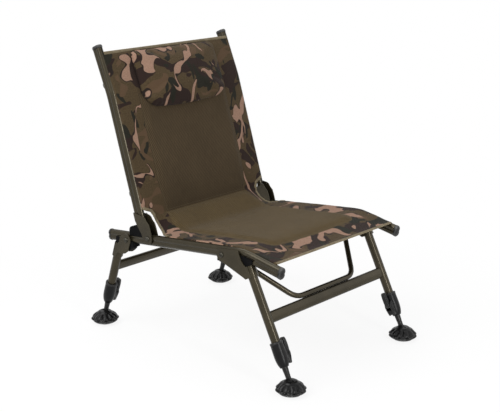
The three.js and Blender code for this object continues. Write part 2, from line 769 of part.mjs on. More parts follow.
function clampSleeve() {
  const length = sleeveTop - sleeveFoot;
  const lowBore = innerLegRadius + runningGap;
  const highBore = legTubeRadius + runningGap;
  const shoulder = tubeFoot - runningGap;
  const outer = sleeveShares.map(([rise, radius]) => new THREE.Vector2(
    radius * sleeveRadius, sleeveFoot + rise * length));
  const body = new THREE.LatheGeometry([
    new THREE.Vector2(lowBore, sleeveFoot), ...outer, new THREE.Vector2(highBore, sleeveTop),
    new THREE.Vector2(highBore, shoulder), new THREE.Vector2(lowBore, shoulder),
    new THREE.Vector2(lowBore, sleeveFoot),
  ], 16);
  body.rotateX(Math.PI / 2);
  const slot = new THREE.BoxGeometry(sleeveRadius, sleeveSlot, length);
  slot.translate(sleeveRadius, 0, shoulder + length / 2);
  const earShape = outlineShape([
    new THREE.Vector2(highBore + earThickness / 3, pivotRise - earRadius * 3.4),
    ...arcPoints(pivotReach, pivotRise, earRadius, -Math.PI / 2, Math.PI / 2, 6),
    new THREE.Vector2(highBore + earThickness / 3, pivotRise + earRadius * 2.4),
  ]);
  const earInner = leverWidth / 2 + runningGap;
  const earOuter = earInner + earThickness;
  const pin = new THREE.CylinderGeometry(pinRadius, pinRadius, 2 * earOuter, 8);
  pin.translate(pivotReach, 0, pivotRise);
  const head = new THREE.CylinderGeometry(pinRadius * 1.7, pinRadius * 1.7, earThickness * 0.8, 8);
  head.translate(pivotReach, -earOuter, pivotRise);
  return join(cut(body, slot), crossPlate(earShape, earInner, earOuter),
    crossPlate(earShape, -earOuter, -earInner), pin, head);
}

// Lever outline above its cam as shares of its height and depth
const leverShares = [[0.3, 0.1], [0.62, 0.14], [0.9, 0.3], [1, 0.75], [0.97, 1.1], [0.8, 0.9], [0.35, 1]];

function camLever() {
  const height = leverTop - pivotRise;
  const inner = pivotReach - camRadius;
  const outline = [
    ...arcPoints(pivotReach, pivotRise, camRadius, 0.1 * Math.PI, -1.1 * Math.PI, 8),
    ...leverShares.map(([rise, depth]) => new THREE.Vector2(
      inner + depth * leverDepth, pivotRise + rise * height)),
  ];
  const shape = outlineShape(outline, { x: pivotReach, y: pivotRise, radius: pinRadius + runningGap });
  return crossPlate(shape, -leverWidth / 2, leverWidth / 2);
}

// Mud foot outline as shares of its radius and of its rim height below the rim, or of its dome above it
const footSoleShares = [[0.38, 0], [0.54, 0], [0.84, 0.42], [1, 1]];
const footDomeShares = [[0.95, 0.24], [0.8, 0.5], [0.58, 0.78], [0.37, 1]];

// The lobes of the rim stand between those of the dome, which gives the knobbly look
function mudFoot() {
  const domeHeight = footHeight - footRim;
  const sole = footSoleShares.map(([radius, rise]) => new THREE.Vector2(
    radius * footRadius, rise * footRim));
  const wall = footDomeShares.map(([radius, rise]) => new THREE.Vector2(
    radius * footRadius, footRim + rise * domeHeight));
  const profile = [
    new THREE.Vector2(0, footHollow), new THREE.Vector2(footRadius * 0.28, footHollow),
    ...sole, ...wall, new THREE.Vector2(0, footHeight),
  ];
  const dome = new THREE.LatheGeometry(profile, 2 * footLobes);
  dome.rotateX(Math.PI / 2);
  const position = dome.attributes.position;
  for (let i = 0; i < position.count; i += 1) {
    const angle = Math.atan2(position.getY(i), position.getX(i));
    const rise = position.getZ(i);
    const turn = rise > footRim + domeHeight * 0.3 ? -1 : 1;
    const swell = 1 + footLobeShare * (turn * Math.cos(footLobes * angle) - 1);
    if (rise > footRim * 0.3 && Math.hypot(position.getX(i), position.getY(i)) > footRadius * 0.5) {
      position.setX(i, position.getX(i) * swell);
      position.setY(i, position.getY(i) * swell);
    }
  }
  dome.translate(0, 0, -ankleHeight);
  const slotWidth = bladeThickness + 2 * runningGap;
  const slotDepth = footHeight - ankleHeight + bladeRadius + cutOverrun / 2;
  const slot = new THREE.BoxGeometry(slotWidth, footSlotLength, slotDepth + cutOverrun);
  slot.translate(0, 0, footHeight - ankleHeight + cutOverrun - (slotDepth + cutOverrun) / 2);
  const pin = barAlongX(anklePinRadius, -slotWidth, slotWidth, new THREE.Vector3(), 8);
  return join(cut(dome, slot), pin);
}

const rowClearShare = 0.018;
const smooth = (low, high, value) => THREE.MathUtils.smoothstep(value, low, high);

// A closed sheet over a grid of rows along a path and columns across it
function gridSheet(path, rows, columns, place) {
  const high = [];
  const low = [];
  rows.forEach((row) => columns.forEach((column) => {
    const spot = place(row, column);
    const up = path.upAt(spot.distance);
    const base = path.at(spot.distance).setX(spot.x);
    high.push(base.clone().addScaledVector(up, spot.high));
    low.push(base.clone().addScaledVector(up, spot.low));
  }));
  const width = columns.length;
  const total = rows.length * width;
  const faces = [];
  const quad = (a, b, c, d) => faces.push(a, b, c, a, c, d);
  for (let r = 0; r < rows.length - 1; r += 1) {
    for (let c = 0; c < width - 1; c += 1) {
      const a = r * width + c;
      quad(a, a + width, a + width + 1, a + 1);
      quad(total + a, total + a + 1, total + a + width + 1, total + a + width);
    }
  }
  for (let c = 0; c < width - 1; c += 1) {
    const last = (rows.length - 1) * width + c;
    quad(c, c + 1, total + c + 1, total + c);
    quad(last + 1, last, total + last, total + last + 1);
  }
  for (let r = 0; r < rows.length - 1; r += 1) {
    const a = r * width;
    const b = a + width - 1;
    quad(a + width, a, total + a, total + a + width);
    quad(b, b + width, total + b + width, total + b);
  }
  const geometry = new THREE.BufferGeometry().setFromPoints([...high, ...low]);
  geometry.setIndex(faces);
  geometry.computeVertexNormals();
  return geometry;
}

// The bead in the rail channel and the web that joins it to the sheet
function beadStrip(path, from, to) {
  const lift = railHalfDepth - channelInset;
  const rise = channelInset + runningGap + coverThickness / 2;
  const half = beadWeb / 2;
  const angle = Math.asin(half / beadRadius);
  const shape = new THREE.Shape([
    ...arcPoints(0, 0, beadRadius, Math.PI / 2 + angle, 2.5 * Math.PI - angle, 7),
    new THREE.Vector2(half, rise), new THREE.Vector2(-half, rise),
  ]);
  const inside = path.distances.filter((distance) => distance > from && distance < to);
  const stations = [from, ...inside, to];
  const strip = new BentPath([path.at(from, lift), path.at(to, lift)], [], xAxis);
  strip.points = stations.map((distance) => path.at(distance, lift));
  strip.tangents = stations.map((distance) => xAxis.clone().cross(path.upAt(distance)));
  return sweep(shape, strip);
}

// Offsets a line of corners to one side and rounds it to match
function offsetCorners(corners, lift) {
  const normal = (a, b) => b.clone().sub(a).normalize().cross(xAxis);
  return corners.map((corner, i) => {
    const before = i > 0 ? normal(corners[i - 1], corner) : normal(corner, corners[i + 1]);
    const after = i < corners.length - 1 ? normal(corner, corners[i + 1]) : before;
    const sum = before.clone().add(after);
    return corner.clone().addScaledVector(sum, lift / (1 + before.dot(after)));
  });
}

const coverLift = railHalfDepth + runningGap + coverThickness / 2;
const coverHalfWidth = halfSpacing + coverOverhang;
const creasePoint = backPivot.clone()
  .addScaledVector(backUp, creaseRise)
  .addScaledVector(backRearward, backOffset - coverLift);
const seatLine = offsetCorners(seatCorners, coverLift);
const rampFoot = seatPath.at(rampStation, coverLift);
const hemPoint = seatLine[2].clone().addScaledVector(frontForward, -hemInset);
const seatCoverPath = new BentPath([creasePoint, rampFoot, seatLine[1], hemPoint],
  [padEdge * 2, railBendRadius + coverLift], xAxis);
const backLine = offsetCorners(backCorners, coverLift);
const backHem = backLine[0].clone().addScaledVector(backTopUp, -hemInset);
const backCoverPath = new BentPath([backHem, backLine[1], creasePoint],
  [backBendRadius - coverLift], xAxis);

const columnShares = [-1, -0.93, -0.8, -0.715, -0.66, -0.5, -0.25, 0, 0.25, 0.5, 0.66, 0.715, 0.8, 0.93, 1];

// How far the padding has risen at a place, from the distances to the pad's edges
function padShare(x, fromEnd, fromStart) {
  const across = smooth(0, padEdge, padHalfWidth - Math.abs(x));
  return across * smooth(0, padEdge, fromEnd) * smooth(0, padEdge, fromStart);
}

function sagShare(x) {
  return 1 - (x / coverHalfWidth) ** 2;
}

const rampLength = creasePoint.distanceTo(rampFoot);

// The seat cover's edge stays inside the hinge plates as far forward as they reach when folded
const plateWidth = halfSpacing - plateInner - plateThickness - 3 * runningGap;
const notchEnd = rampLength + backPivotStation + plateLength - rampStation + 2 * runningGap;
const beadStart = notchEnd + notchRun;
const seatPadFront = seatCoverPath.length - seatPadInset;
const backPadTop = backCoverPath.length - pillowTopInset - pillowHeight + padUnderPillow;

function seatHalfWidth(distance) {
  return coverWaist + (plateWidth - coverWaist) * smooth(0, rampLength * 0.6, distance)
    + (coverHalfWidth - plateWidth) * smooth(notchEnd, beadStart, distance);
}

// Row places along a path: its own stations, given marks, and the shares of its length clear of them
function rowPlaces(path, shares, start, end, marks = []) {
  const clear = path.length * rowClearShare;
  const kept = [...path.distances, ...marks]
    .filter((distance) => distance > start + clear && distance < end - clear);
  const between = shares.map((share) => share * path.length)
    .filter((place) => place > start + clear && place < end - clear)
    .filter((place) => kept.every((distance) => Math.abs(distance - place) > clear));
  return [start, ...kept, ...between, end].sort((a, b) => a - b);
}

function seatCover() {
  const total = seatCoverPath.length;
  const rowShares = [0.045, 0.09, 0.16, 0.35, 0.44, 0.53, 0.62, 0.8, 0.88];
  const places = rowPlaces(seatCoverPath, rowShares, creaseSetback, total,
    [notchEnd, beadStart, seatPadFront - padEdge, seatPadFront]);
  const place = (distance, column) => {
    const x = column * seatHalfWidth(distance);
    const front = seatPadFront - seatPadBow * (x / padHalfWidth) ** 2;
    const pad = padShare(x, front - distance, distance);
    const proud = pad * smooth(rampLength * 0.8, rampLength * 1.6, distance);
    const settle = smooth(0, rampLength, distance) * smooth(0, padEdge, total - distance);
    const sag = seatSag * sagShare(x) * settle;
    return {
      distance, x,
      high: coverThickness / 2 - sag + padRise * proud,
      low: -coverThickness / 2 - sag - padUnder * pad,
    };
  };
  const sheet = gridSheet(seatCoverPath, places, columnShares, place);
  const from = rampStation + beadStart - rampLength;
  const to = seatPath.length - hemInset - railWidth / 2;
  const bead = beadStrip(seatPath, from, to);
  const left = bead.clone().translate(halfSpacing, 0, 0);
  const right = bead.clone().translate(-halfSpacing, 0, 0);
  return join(sheet, left, right);
}

function backHalfWidth(fromCrease) {
  return coverWaist + (coverHalfWidth - coverWaist) * smooth(padEdge * 0.3, padEdge * 1.3, fromCrease);
}

// Heights of the back cover's two faces above its path, shared with the headrest that lies on it
function backFaces(x, distance) {
  const fromCrease = backCoverPath.length - distance;
  const pad = padShare(x, backPadTop - fromCrease, fromCrease);
  const rise = padRise * pad * smooth(0, padEdge * 6, fromCrease);
  const sag = backSag * sagShare(x) * smooth(0, padEdge * 3, fromCrease) * smooth(0, padEdge, distance);
  return {
    high: coverThickness / 2 - sag + rise,
    low: -coverThickness / 2 - sag - padUnder * pad,
  };
}

function backCover() {
  const total = backCoverPath.length;
  const rowShares = [0.05, 0.15, 0.24, 0.3, 0.335, 0.37, 0.41, 0.5, 0.62, 0.74, 0.85, 0.92, 0.96];
  const places = rowPlaces(backCoverPath, rowShares, 0, total - creaseSetback);
  const place = (distance, column) => {
    const x = column * backHalfWidth(total - distance);
    return { distance, x, ...backFaces(x, distance) };
  };
  const sheet = gridSheet(backCoverPath, places, columnShares, place);
  const to = backPath.length - (creaseRise - backRailStart) - padEdge * 1.4;
  const bead = beadStrip(backPath, hemInset + railWidth / 2, to);
  const left = bead.clone().translate(halfSpacing, 0, 0);
  const right = bead.clone().translate(-halfSpacing, 0, 0);
  return join(sheet, left, right);
}

const endDrawShare = 0.035;

// A slim pillow on the upper back: full in the middle, drawn in towards its seams
function headrestPillow() {
  const rowShares = [0, 0.06, 0.16, 0.32, 0.5, 0.68, 0.84, 0.94, 1];
  const pillowColumns = [-1, -0.97, -0.88, -0.7, -0.4, 0, 0.4, 0.7, 0.88, 0.97, 1];
  const cornerInset = (radius, fromEnd) => {
    const short = Math.max(radius - fromEnd, 0);
    return radius - Math.sqrt(radius ** 2 - short ** 2);
  };
  const place = (row, column) => {
    const roundEnd = 1 - endDrawShare * (Math.abs(column) ** 6) * (2 * row - 1) ** 2;
    const distance = pillowTopInset + pillowHeight * (0.5 + (row - 0.5) * roundEnd);
    const inset = cornerInset(pillowUpperCorner, row * pillowHeight)
      + cornerInset(pillowLowerCorner, (1 - row) * pillowHeight);
    const x = column * (pillowHalfWidth - inset);
    const crownAlong = Math.max(0, 1 - Math.abs(2 * row - 1) ** 3) ** 0.6;
    const crown = crownAlong * Math.max(0, 1 - column ** 8) ** 0.6;
    const low = backFaces(x, distance).high + pillowGap;
    return { distance, x, low, high: low + coverThickness + pillowThickness * crown };
  };
  return gridSheet(backCoverPath, rowShares, pillowColumns, place);
}

function addPiece(parent, name, geometry, finish) {
  const piece = new THREE.Mesh(geometry, new THREE.MeshStandardMaterial(finish));
  piece.name = name;
  parent.add(piece);
}

// A piece drawn for the left side, and its mirror image for the right
function addPair(parent, name, geometry, finish, reach = 0) {
  const left = reach === 0 ? geometry : geometry.clone().translate(reach, 0, 0);
  addPiece(parent, `${name}_left`, left, finish);
  addPiece(parent, `${name}_right`, mirrored(left), finish);
}

// The pieces that every telescopic leg carries, in the leg's frame with its inner side towards -x
function addLegFoot(parent, name) {
  addPair(parent, `${name}_clamp_sleeve`, mirrored(clampSleeve()), blackPlastic, halfSpacing);
  addPair(parent, `${name}_cam_lever`, mirrored(camLever()), blackPlastic, halfSpacing);
  addPair(parent, `${name}_inner_leg`, innerLeg(), blackMetal, halfSpacing);
}

function addLegFrame(chair, name, frame, tubeDrop, socketLength, braceRise, cheekShares, arc) {
  const group = new THREE.Group();
  group.position.copy(frame.ankle);
  group.rotation.x = frame.turn;
  const bracket = legBracket(frame, tubeDrop, socketLength, cheekShares, arc[0], arc[1]);
  addPair(group, `${name}_leg_bracket`, bracket, oliveMetal, halfSpacing);
  addPair(group, `${name}_leg_tube`, legTube(frame, tubeDrop), oliveMetal, halfSpacing);
  addPiece(group, `${name}_cross_brace`, crossBrace(braceRise), oliveMetal);
  addLegFoot(group, name);
  chair.add(group);
  const ankles = new THREE.Group();
  ankles.position.copy(frame.ankle);
  addPair(ankles, `${name}_mud_foot`, mudFoot(), blackPlastic, halfSpacing);
  chair.add(ankles);
  return group;
}

function addSeatFrame(chair) {
  addPair(chair, 'seat_rail', seatRail(), oliveMetal, halfSpacing);
  const rearCap = railCap(seatPath.at(0), seatForward.clone().negate(), seatPath.upAt(0));
  addPair(chair, 'seat_rail_rear_cap', rearCap, blackPlastic, halfSpacing);
  const frontEnd = seatPath.length;
  const frontCap = railCap(seatPath.at(frontEnd), frontForward, seatPath.upAt(frontEnd));
  addPair(chair, 'seat_rail_front_cap', frontCap, blackPlastic, halfSpacing);
  addPair(chair, 'hinge_stop_block', hingeStop(), blackPlastic, halfSpacing);
  addPair(chair, 'front_leg_block', frontLegBlock(), blackPlastic, halfSpacing);
  addPair(chair, 'rear_leg_block', rearLegBlock(), blackPlastic, halfSpacing);
  const legBoltOuter = cheekOuter + runningGap;
  addPair(chair, 'front_leg_pivot_bolt', bolt(frontLegPivot, -tabOuter - runningGap, legBoltOuter),
    darkSteel, halfSpacing);
  addPair(chair, 'rear_leg_pivot_bolt', bolt(rearLegPivot, -legBoltOuter, legBoltOuter),
    darkSteel, halfSpacing);
  const hingeBoltReach = plateInner + plateThickness + runningGap;
  addPair(chair, 'backrest_pivot_bolt', bolt(backPivot, -hingeBoltReach, hingeBoltReach),
    darkSteel, halfSpacing);
  addPiece(chair, 'seat_cover', seatCover(), oliveCloth);
}

function addBackrest(chair) {
  addPair(chair, 'back_rail', backRail(), oliveMetal, halfSpacing);
  const topCap = railCap(backPath.at(0), backTopUp, backPath.upAt(0));
  addPair(chair, 'back_rail_cap', topCap, blackPlastic, halfSpacing);
  const plateOuter = plateInner + plateThickness;
  addPair(chair, 'outer_hinge_plate', hingePlate(plateInner, plateOuter, backPivot),
    oliveMetal, halfSpacing);
  addPair(chair, 'inner_hinge_plate', hingePlate(-plateOuter, -plateInner, backPivot, clampPlace),
    oliveMetal, halfSpacing);
  addPair(chair, 'hinge_clamp_bolt', screw(clampPlace, -plateOuter - runningGap, railHalfWidth),
    brightSteel, halfSpacing);
  addPiece(chair, 'upper_back_bar', backBar(backPath.length - upperBackBarStation), oliveMetal);
  addPiece(chair, 'lower_back_bar', backBar(backPath.length - lowerBackBarStation), oliveMetal);
  addPiece(chair, 'back_cover', backCover(), oliveCloth);
  addPiece(chair, 'headrest_pillow', headrestPillow(), camoCloth);
}

const chair = new THREE.Group();
addSeatFrame(chair);
addBackrest(chair);
const frontGroup = addLegFrame(chair, 'front', frontLegs, frontTubeDrop, frontSocketLength, frontBraceRise,
  frontCheekShares, [0.8 * Math.PI, 1.6 * Math.PI]);
addPiece(frontGroup, 'front_spreader_bar', spreaderBar(), oliveMetal);
addLegFrame(chair, 'rear', rearLegs, rearTubeDrop, rearSocketLength, rearBraceRise,
  rearCheekShares, [0.9 * Math.PI, 1.75 * Math.PI]);
chair.position.y = -(frontLegs.ankle.y + rearLegs.ankle.y) / 2;

export default chair;
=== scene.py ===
import json
from math import copysign, cos, pi, radians, sin, sqrt, tan

import bmesh
import bpy
from mathutils import Matrix, Vector, noise

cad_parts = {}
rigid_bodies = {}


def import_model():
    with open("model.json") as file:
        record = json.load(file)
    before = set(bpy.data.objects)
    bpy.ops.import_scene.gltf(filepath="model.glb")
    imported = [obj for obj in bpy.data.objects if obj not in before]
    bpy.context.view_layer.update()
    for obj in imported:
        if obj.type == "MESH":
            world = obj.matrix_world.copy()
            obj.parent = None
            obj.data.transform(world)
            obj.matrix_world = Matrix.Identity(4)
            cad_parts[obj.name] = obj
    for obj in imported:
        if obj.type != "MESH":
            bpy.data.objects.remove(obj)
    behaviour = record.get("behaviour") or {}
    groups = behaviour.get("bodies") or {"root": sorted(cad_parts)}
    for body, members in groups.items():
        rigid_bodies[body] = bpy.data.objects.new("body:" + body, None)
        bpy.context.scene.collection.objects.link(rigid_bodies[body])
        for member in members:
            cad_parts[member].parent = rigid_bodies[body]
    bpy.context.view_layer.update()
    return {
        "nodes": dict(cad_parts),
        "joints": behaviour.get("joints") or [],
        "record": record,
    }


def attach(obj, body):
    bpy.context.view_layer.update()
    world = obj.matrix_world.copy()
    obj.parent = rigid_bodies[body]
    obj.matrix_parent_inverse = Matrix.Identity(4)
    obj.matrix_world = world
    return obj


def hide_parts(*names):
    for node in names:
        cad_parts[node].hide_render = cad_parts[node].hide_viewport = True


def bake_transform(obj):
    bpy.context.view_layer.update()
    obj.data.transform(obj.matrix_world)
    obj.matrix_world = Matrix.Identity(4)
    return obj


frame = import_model()
scene = bpy.context.scene

# Camera, from the photograph's perspective
CAMERA_PLACE = Vector((-2.1688, -1.9727, 1.1989))
CAMERA_TURN = radians(-47.627)
CAMERA_DROP = radians(15.856)
CAMERA_ROLL = radians(0.158)
FOCAL_PIXELS = 1108.2
PICTURE_WIDTH = 500
SENSOR_WIDTH = 36

# Studio
AMBIENT = 0.4
LAMP_AIM = Vector((0, 0, 0.35))
FLOOR_HEIGHT = -0.0005
FLOOR_REACH = 30

# Frame sizes that the cloth follows, in metres and degrees
RAIL_HALF_DEPTH = 0.0155
LOBE_LIFT = 0.006
SEAT_PITCH = radians(6.2)
RAIL_BEND = radians(16.7)
RAIL_BEND_RADIUS = 0.18
RAIL_REAR_LENGTH = 0.503
RAIL_FRONT_LENGTH = 0.12
BACK_PIVOT_STATION = 0.1575
BACK_LEAN = radians(17.7)
BACK_BEND = radians(5.8)
BACK_BEND_RADIUS = 0.3
BACK_OFFSET = 0.0228
BACK_RAIL_START = 0.04
BACK_LOWER_LENGTH = 0.358
BACK_UPPER_LENGTH = 0.13
BEND_STEP = radians(1.5)

# Solids: the coat on the spreader bar's low run, when points are one, and which edges stay sharp
COAT = 0.00028
WELD = 0.00001
FRAME_SHARP = radians(34)
MOULDING_SHARP = radians(38)

# Cloth sizes
CLOTH_THICKNESS = 0.0016
COVER_STEP = 0.0045
COVER_COLUMNS = 72
COVER_LIFT = RAIL_HALF_DEPTH + 0.0015
EDGE_HALF_WIDTH = 0.2414
WAIST_HALF_WIDTH = 0.208
SEAT_HOLD_START, SEAT_HOLD_END = 0.082, 0.094
BACK_HOLD_START, BACK_HOLD_END = 0.011, 0.028
BACK_FLARE_SHARE = 0.15
TUCK_DEPTH = 0.0065
FREE_EDGE_DEPTH = 0.0012
FLAT_INSET = 0.0022
EDGE_INSET = 0.0014
EDGE_ROUND = [(0.00155, 0.0008), (0.0018, 0.0002)]
CREASE_RISE = 0.056
RAMP_STATION = 0.215
RAMP_BEND_RADIUS = 0.052
HEM_INSET = 0.015
SEAT_SAG = 0.005
BACK_BULGE = 0.006
SEAM_REACH = 0.026
SEAM_RISE = 0.003
SEAM_HALF = 0.0008
SEAT_PANEL_HALF = 0.174
BACK_PANEL_HALF = 0.169
CREASE_PANEL_HALF = 0.159
PANEL_RISE = 0.0062
PANEL_UNDER = 0.004
PANEL_ROUND = 0.024
PANEL_CORNER = 0.03
SEAT_PANEL_INSET = 0.07
SEAT_PANEL_BOW = 0.003
PANEL_UNDER_PILLOW = 0.045
PILLOW_HALF_WIDTH = 0.158
PILLOW_HEIGHT = 0.162
PILLOW_INSET = 0.009
PILLOW_CROWN = 0.019
PILLOW_BOW = 0.007
PILLOW_LOWER_CORNER = 0.046
PILLOW_UPPER_CORNER = 0.016
PILLOW_CAP = 0.012
PILLOW_GAP = 0.0022
PILLOW_HELD = 0.0034
PILLOW_SEAM = 0.004
PILLOW_END_DOME, PILLOW_SIDE_DOME = 2.6, 4.2
BINDING_INSET = 0.003
BINDING_HALF_THICKNESS = 0.0019
HEM_TAPE_HALF, NOTCH_TAPE_HALF = 0.0045, 0.0046

# The cut-out beside a hinge: distance from the crease, half width and how far its edge hangs
NOTCH_LINE = [
    (0, WAIST_HALF_WIDTH, 0), (0.01, 0.2056, 0.0095), (0.028, 0.2062, 0.016),
    (0.049, 0.2112, 0.018), (0.063, 0.219, 0.016), (0.073, 0.2285, 0.01),
    (0.083, 0.237, 0.0012), (0.092, EDGE_HALF_WIDTH, 0)]

# Clamp sleeves and cam levers, in millimetres inward from the leg's axis and up from the ankle
CLAMP_PIVOT = (21.6, 76)
TUBE_BORE, INNER_BORE, SLEEVE_SHOULDER = 12.3, 8.3, 67.7
SLEEVE_FOOT, SLEEVE_TOP = 46, 112
SLOT_HALF, SLOT_START, SLOT_END, SLOT_TOP = 1.3, 5, 19, 120
SLEEVE_SECTION = [
    (10.3, SLEEVE_FOOT), (11.3, 46.4), (12.6, 49.5), (14.2, 54), (15.6, 60), (16.5, 66.5),
    (17, 74), (17, 82), (16.8, 92), (16.5, 101), (16.3, 105.6), (16.9, 106.2),
    (16.9, 110.8), (16.3, 111.7), (15.2, SLEEVE_TOP), (TUBE_BORE, SLEEVE_TOP),
    (TUBE_BORE, SLEEVE_SHOULDER), (INNER_BORE, SLEEVE_SHOULDER), (INNER_BORE, SLEEVE_FOOT)]
EAR_OUTLINE = [
    (12.8, 51), (19.2, 50.4), (21.4, 52.2), (23.4, 59), (25.8, 67), (27.2, 74), (27, 79.6),
    (25.2, 84.2), (21.6, 87.8), (17.5, 91), (13, 92)]
EAR_SPAN = (7.3, 10.4)
WEB_OUTLINE = [
    (13, 52), (18.6, 51.8), (20.4, 53.2), (22.6, 60), (24.2, 65), (21, 67.2), (13, 67.2)]
WEB_OVERLAP = 0.6
LEVER_HALF = 6.8
LEVER_TOP = [
    (24.9, 72.7), (27.4, 73.8), (29.2, 78.4), (30.4, 84), (31.2, 92), (31.3, 103),
    (30.4, 112), (28.6, 116.4), (25.4, 117.6), (22.6, 115.6), (20.9, 108), (19.4, 97),
    (18.1, 86), (17.5, 80)]
CAM_RADIUS = 4.3
SCREW_RADIUS, SCREW_HEIGHT, SCREW_OVERLAP = 3.5, 2.0, 0.5

# Mud feet: outline as shares of the radius and heights in millimetres. A band of dips starts, is
# full, fades and ends at its four heights
FOOT_RADIUS = 0.04
FOOT_LOBES = 10
FOOT_RIM_BAND, FOOT_RIM_DIP = (1, 6, 16.5, 17.6), 0.17
FOOT_DOME_BAND, FOOT_DOME_DIP = (17.6, 19, 29.5, 31.2), 0.16
FOOT_DIP_POWER = 1.3
FOOT_PIN_RISE = 0.024
FOOT_PIN_RADIUS, FOOT_PIN_HALF_LENGTH = 0.0026, 0.006
POCKET_HALF = 0.0033
POCKET_REACH = (-0.01, 0.0195)
POCKET_LOW, POCKET_HIGH = -0.0085, 0.016
FOOT_OUTLINE = [
    (0, 8), (0.26, 8), (0.32, 6.6), (0.355, 1.2), (0.385, 0), (0.53, 0), (0.575, 0.5),
    (0.68, 2.3), (0.8, 4.8), (0.9, 8), (0.965, 10.4), (1, 12.6), (0.995, 14.6), (0.965, 16.3),
    (0.925, 17.2), (0.905, 18), (0.905, 19.2), (0.86, 21.9), (0.79, 24.9), (0.7, 27.7),
    (0.61, 30), (0.555, 30.9), (0.515, 31.4), (0.495, 32.4), (0.465, 34.2), (0.41, 35.5),
    (0.345, 36), (0, 36)]

X_AXIS = Vector((1, 0, 0))


def smooth(low, high, value):
    share = min(max((value - low) / (high - low), 0), 1)
    return share * share * (3 - 2 * share)


class BentPath:
    """A line of corners in the YZ plane with rounded bends; facing says which side is up"""

    def __init__(self, corners, radii, facing):
        self.facing = facing
        self.points = [corners[0]]
        self.tangents = [(corners[1] - corners[0]).normalized()]
        for i, radius in enumerate(radii, start=1):
            self.add_bend(corners[i - 1], corners[i], corners[i + 1], radius)
        self.points.append(corners[-1])
        self.tangents.append((corners[-1] - corners[-2]).normalized())
        self.stations = [0.0]
        for a, b in zip(self.points, self.points[1:]):
            self.stations.append(self.stations[-1] + (b - a).length)
        self.length = self.stations[-1]

    def add_bend(self, before, corner, after, radius):
        into = (corner - before).normalized()
        out = (after - corner).normalized()
        angle = into.angle(out)
        start = corner - into * radius * tan(angle / 2)
        inward = (out - into * out.dot(into)).normalized()
        count = max(2, round(angle / BEND_STEP))
        for i in range(count + 1):
            turn = angle * i / count
            run = into * sin(turn) + inward * (1 - cos(turn))
            self.points.append(start + run * radius)
            self.tangents.append(into * cos(turn) + inward * sin(turn))

    def at(self, distance, lift=0.0, x=0.0):
        """The point and the up direction at a distance along the path"""
        i = 0
        while i < len(self.points) - 2 and self.stations[i + 1] < distance:
            i += 1
        run = self.stations[i + 1] - self.stations[i]
        share = (distance - self.stations[i]) / run
        tangent = self.tangents[i].lerp(self.tangents[i + 1], min(max(share, 0), 1))
        up = tangent.cross(X_AXIS).normalized() * self.facing
        point = self.points[i].lerp(self.points[i + 1], share) + up * lift
        return Vector((x, point.y, point.z)), up

    def locate(self, point):
        """A near point's distance along the path and its lift above it"""
        best = None
        for i, (a, b) in enumerate(zip(self.points, self.points[1:])):
            run = b - a
            gap = Vector((0, point.y, point.z)) - a
            share = min(max(gap.dot(run) / run.length_squared, 0), 1)
            away = gap - run * share
            if best is None or away.length < best[0]:
                up = run.cross(X_AXIS).normalized() * self.facing
                best = (away.length, self.stations[i] + run.length * share, away.dot(up))
        return best[1], best[2]


def joint_named(name):
    return next(joint for joint in frame["joints"] if joint["name"] == name)


def offset_corner(corner, before, after, lift):
    """A corner moved to the sitter's side of both lines that meet there"""
    return corner + (before + after) * lift / (1 + before.dot(after))


def cover_paths():
    """The seat's and the back's cloth lines, both starting at the crease between them"""
    pivot = Vector(joint_named("backrest_fold")["pos_m"])
    forward = Vector((0, -cos(SEAT_PITCH), sin(SEAT_PITCH)))
    front = Matrix.Rotation(RAIL_BEND, 3, "X") @ forward
    up, front_up = forward.cross(X_AXIS), front.cross(X_AXIS)
    rear = pivot - up * LOBE_LIFT - forward * BACK_PIVOT_STATION
    corner = rear + forward * RAIL_REAR_LENGTH
    nose = corner + front * RAIL_FRONT_LENGTH
    back_up = Vector((0, sin(BACK_LEAN), cos(BACK_LEAN)))
    back_top_up = Matrix.Rotation(-BACK_BEND, 3, "X") @ back_up
    sitter = X_AXIS.cross(back_up)
    top_sitter = X_AXIS.cross(back_top_up)
    crease = pivot + back_up * CREASE_RISE - sitter * (BACK_OFFSET - COVER_LIFT)
    ramp_foot = rear + forward * RAMP_STATION + up * COVER_LIFT
    seat = BentPath(
        [crease, ramp_foot, offset_corner(corner, up, front_up, COVER_LIFT),
         nose + front_up * COVER_LIFT - front * HEM_INSET],
        [RAMP_BEND_RADIUS, RAIL_BEND_RADIUS + COVER_LIFT], 1)
    foot = pivot + back_up * BACK_RAIL_START - sitter * BACK_OFFSET
    kink = foot + back_up * BACK_LOWER_LENGTH
    top = kink + back_top_up * BACK_UPPER_LENGTH
    back = BentPath(
        [crease, offset_corner(kink, sitter, top_sitter, COVER_LIFT),
         top + top_sitter * COVER_LIFT - back_top_up * HEM_INSET],
        [BACK_BEND_RADIUS - COVER_LIFT], -1)
    return seat, back, (ramp_foot - crease).length, crease, ramp_foot


SEAT, BACK, RAMP, CREASE, RAMP_FOOT = cover_paths()
SEAT_PANEL_FRONT = SEAT.length - SEAT_PANEL_INSET
BACK_PANEL_TOP = BACK.length - PILLOW_INSET - PILLOW_HEIGHT + PANEL_UNDER_PILLOW


def seat_edge(distance):
    """Half the cover's width, and how far its edge hangs"""
    for (start, wide, low), (end, next_wide, next_low) in zip(NOTCH_LINE, NOTCH_LINE[1:]):
        if distance < end:
            share = (distance - start) / (end - start)
            return wide + (next_wide - wide) * share, low + (next_low - low) * share
    return EDGE_HALF_WIDTH, 0.0


def back_half_width(distance):
    flare = BACK_FLARE_SHARE * smooth(0, BACK_HOLD_START, distance)
    reach = flare + (1 - BACK_FLARE_SHARE) * smooth(BACK_HOLD_START, BACK_HOLD_END, distance)
    return WAIST_HALF_WIDTH + (EDGE_HALF_WIDTH - WAIST_HALF_WIDTH) * reach


def back_ends(distance):
    """Falls from 1 to 0 at the crease and at the top hem"""
    return smooth(0, SEAM_REACH * 3, distance) * smooth(0, SEAM_REACH, BACK.length - distance)


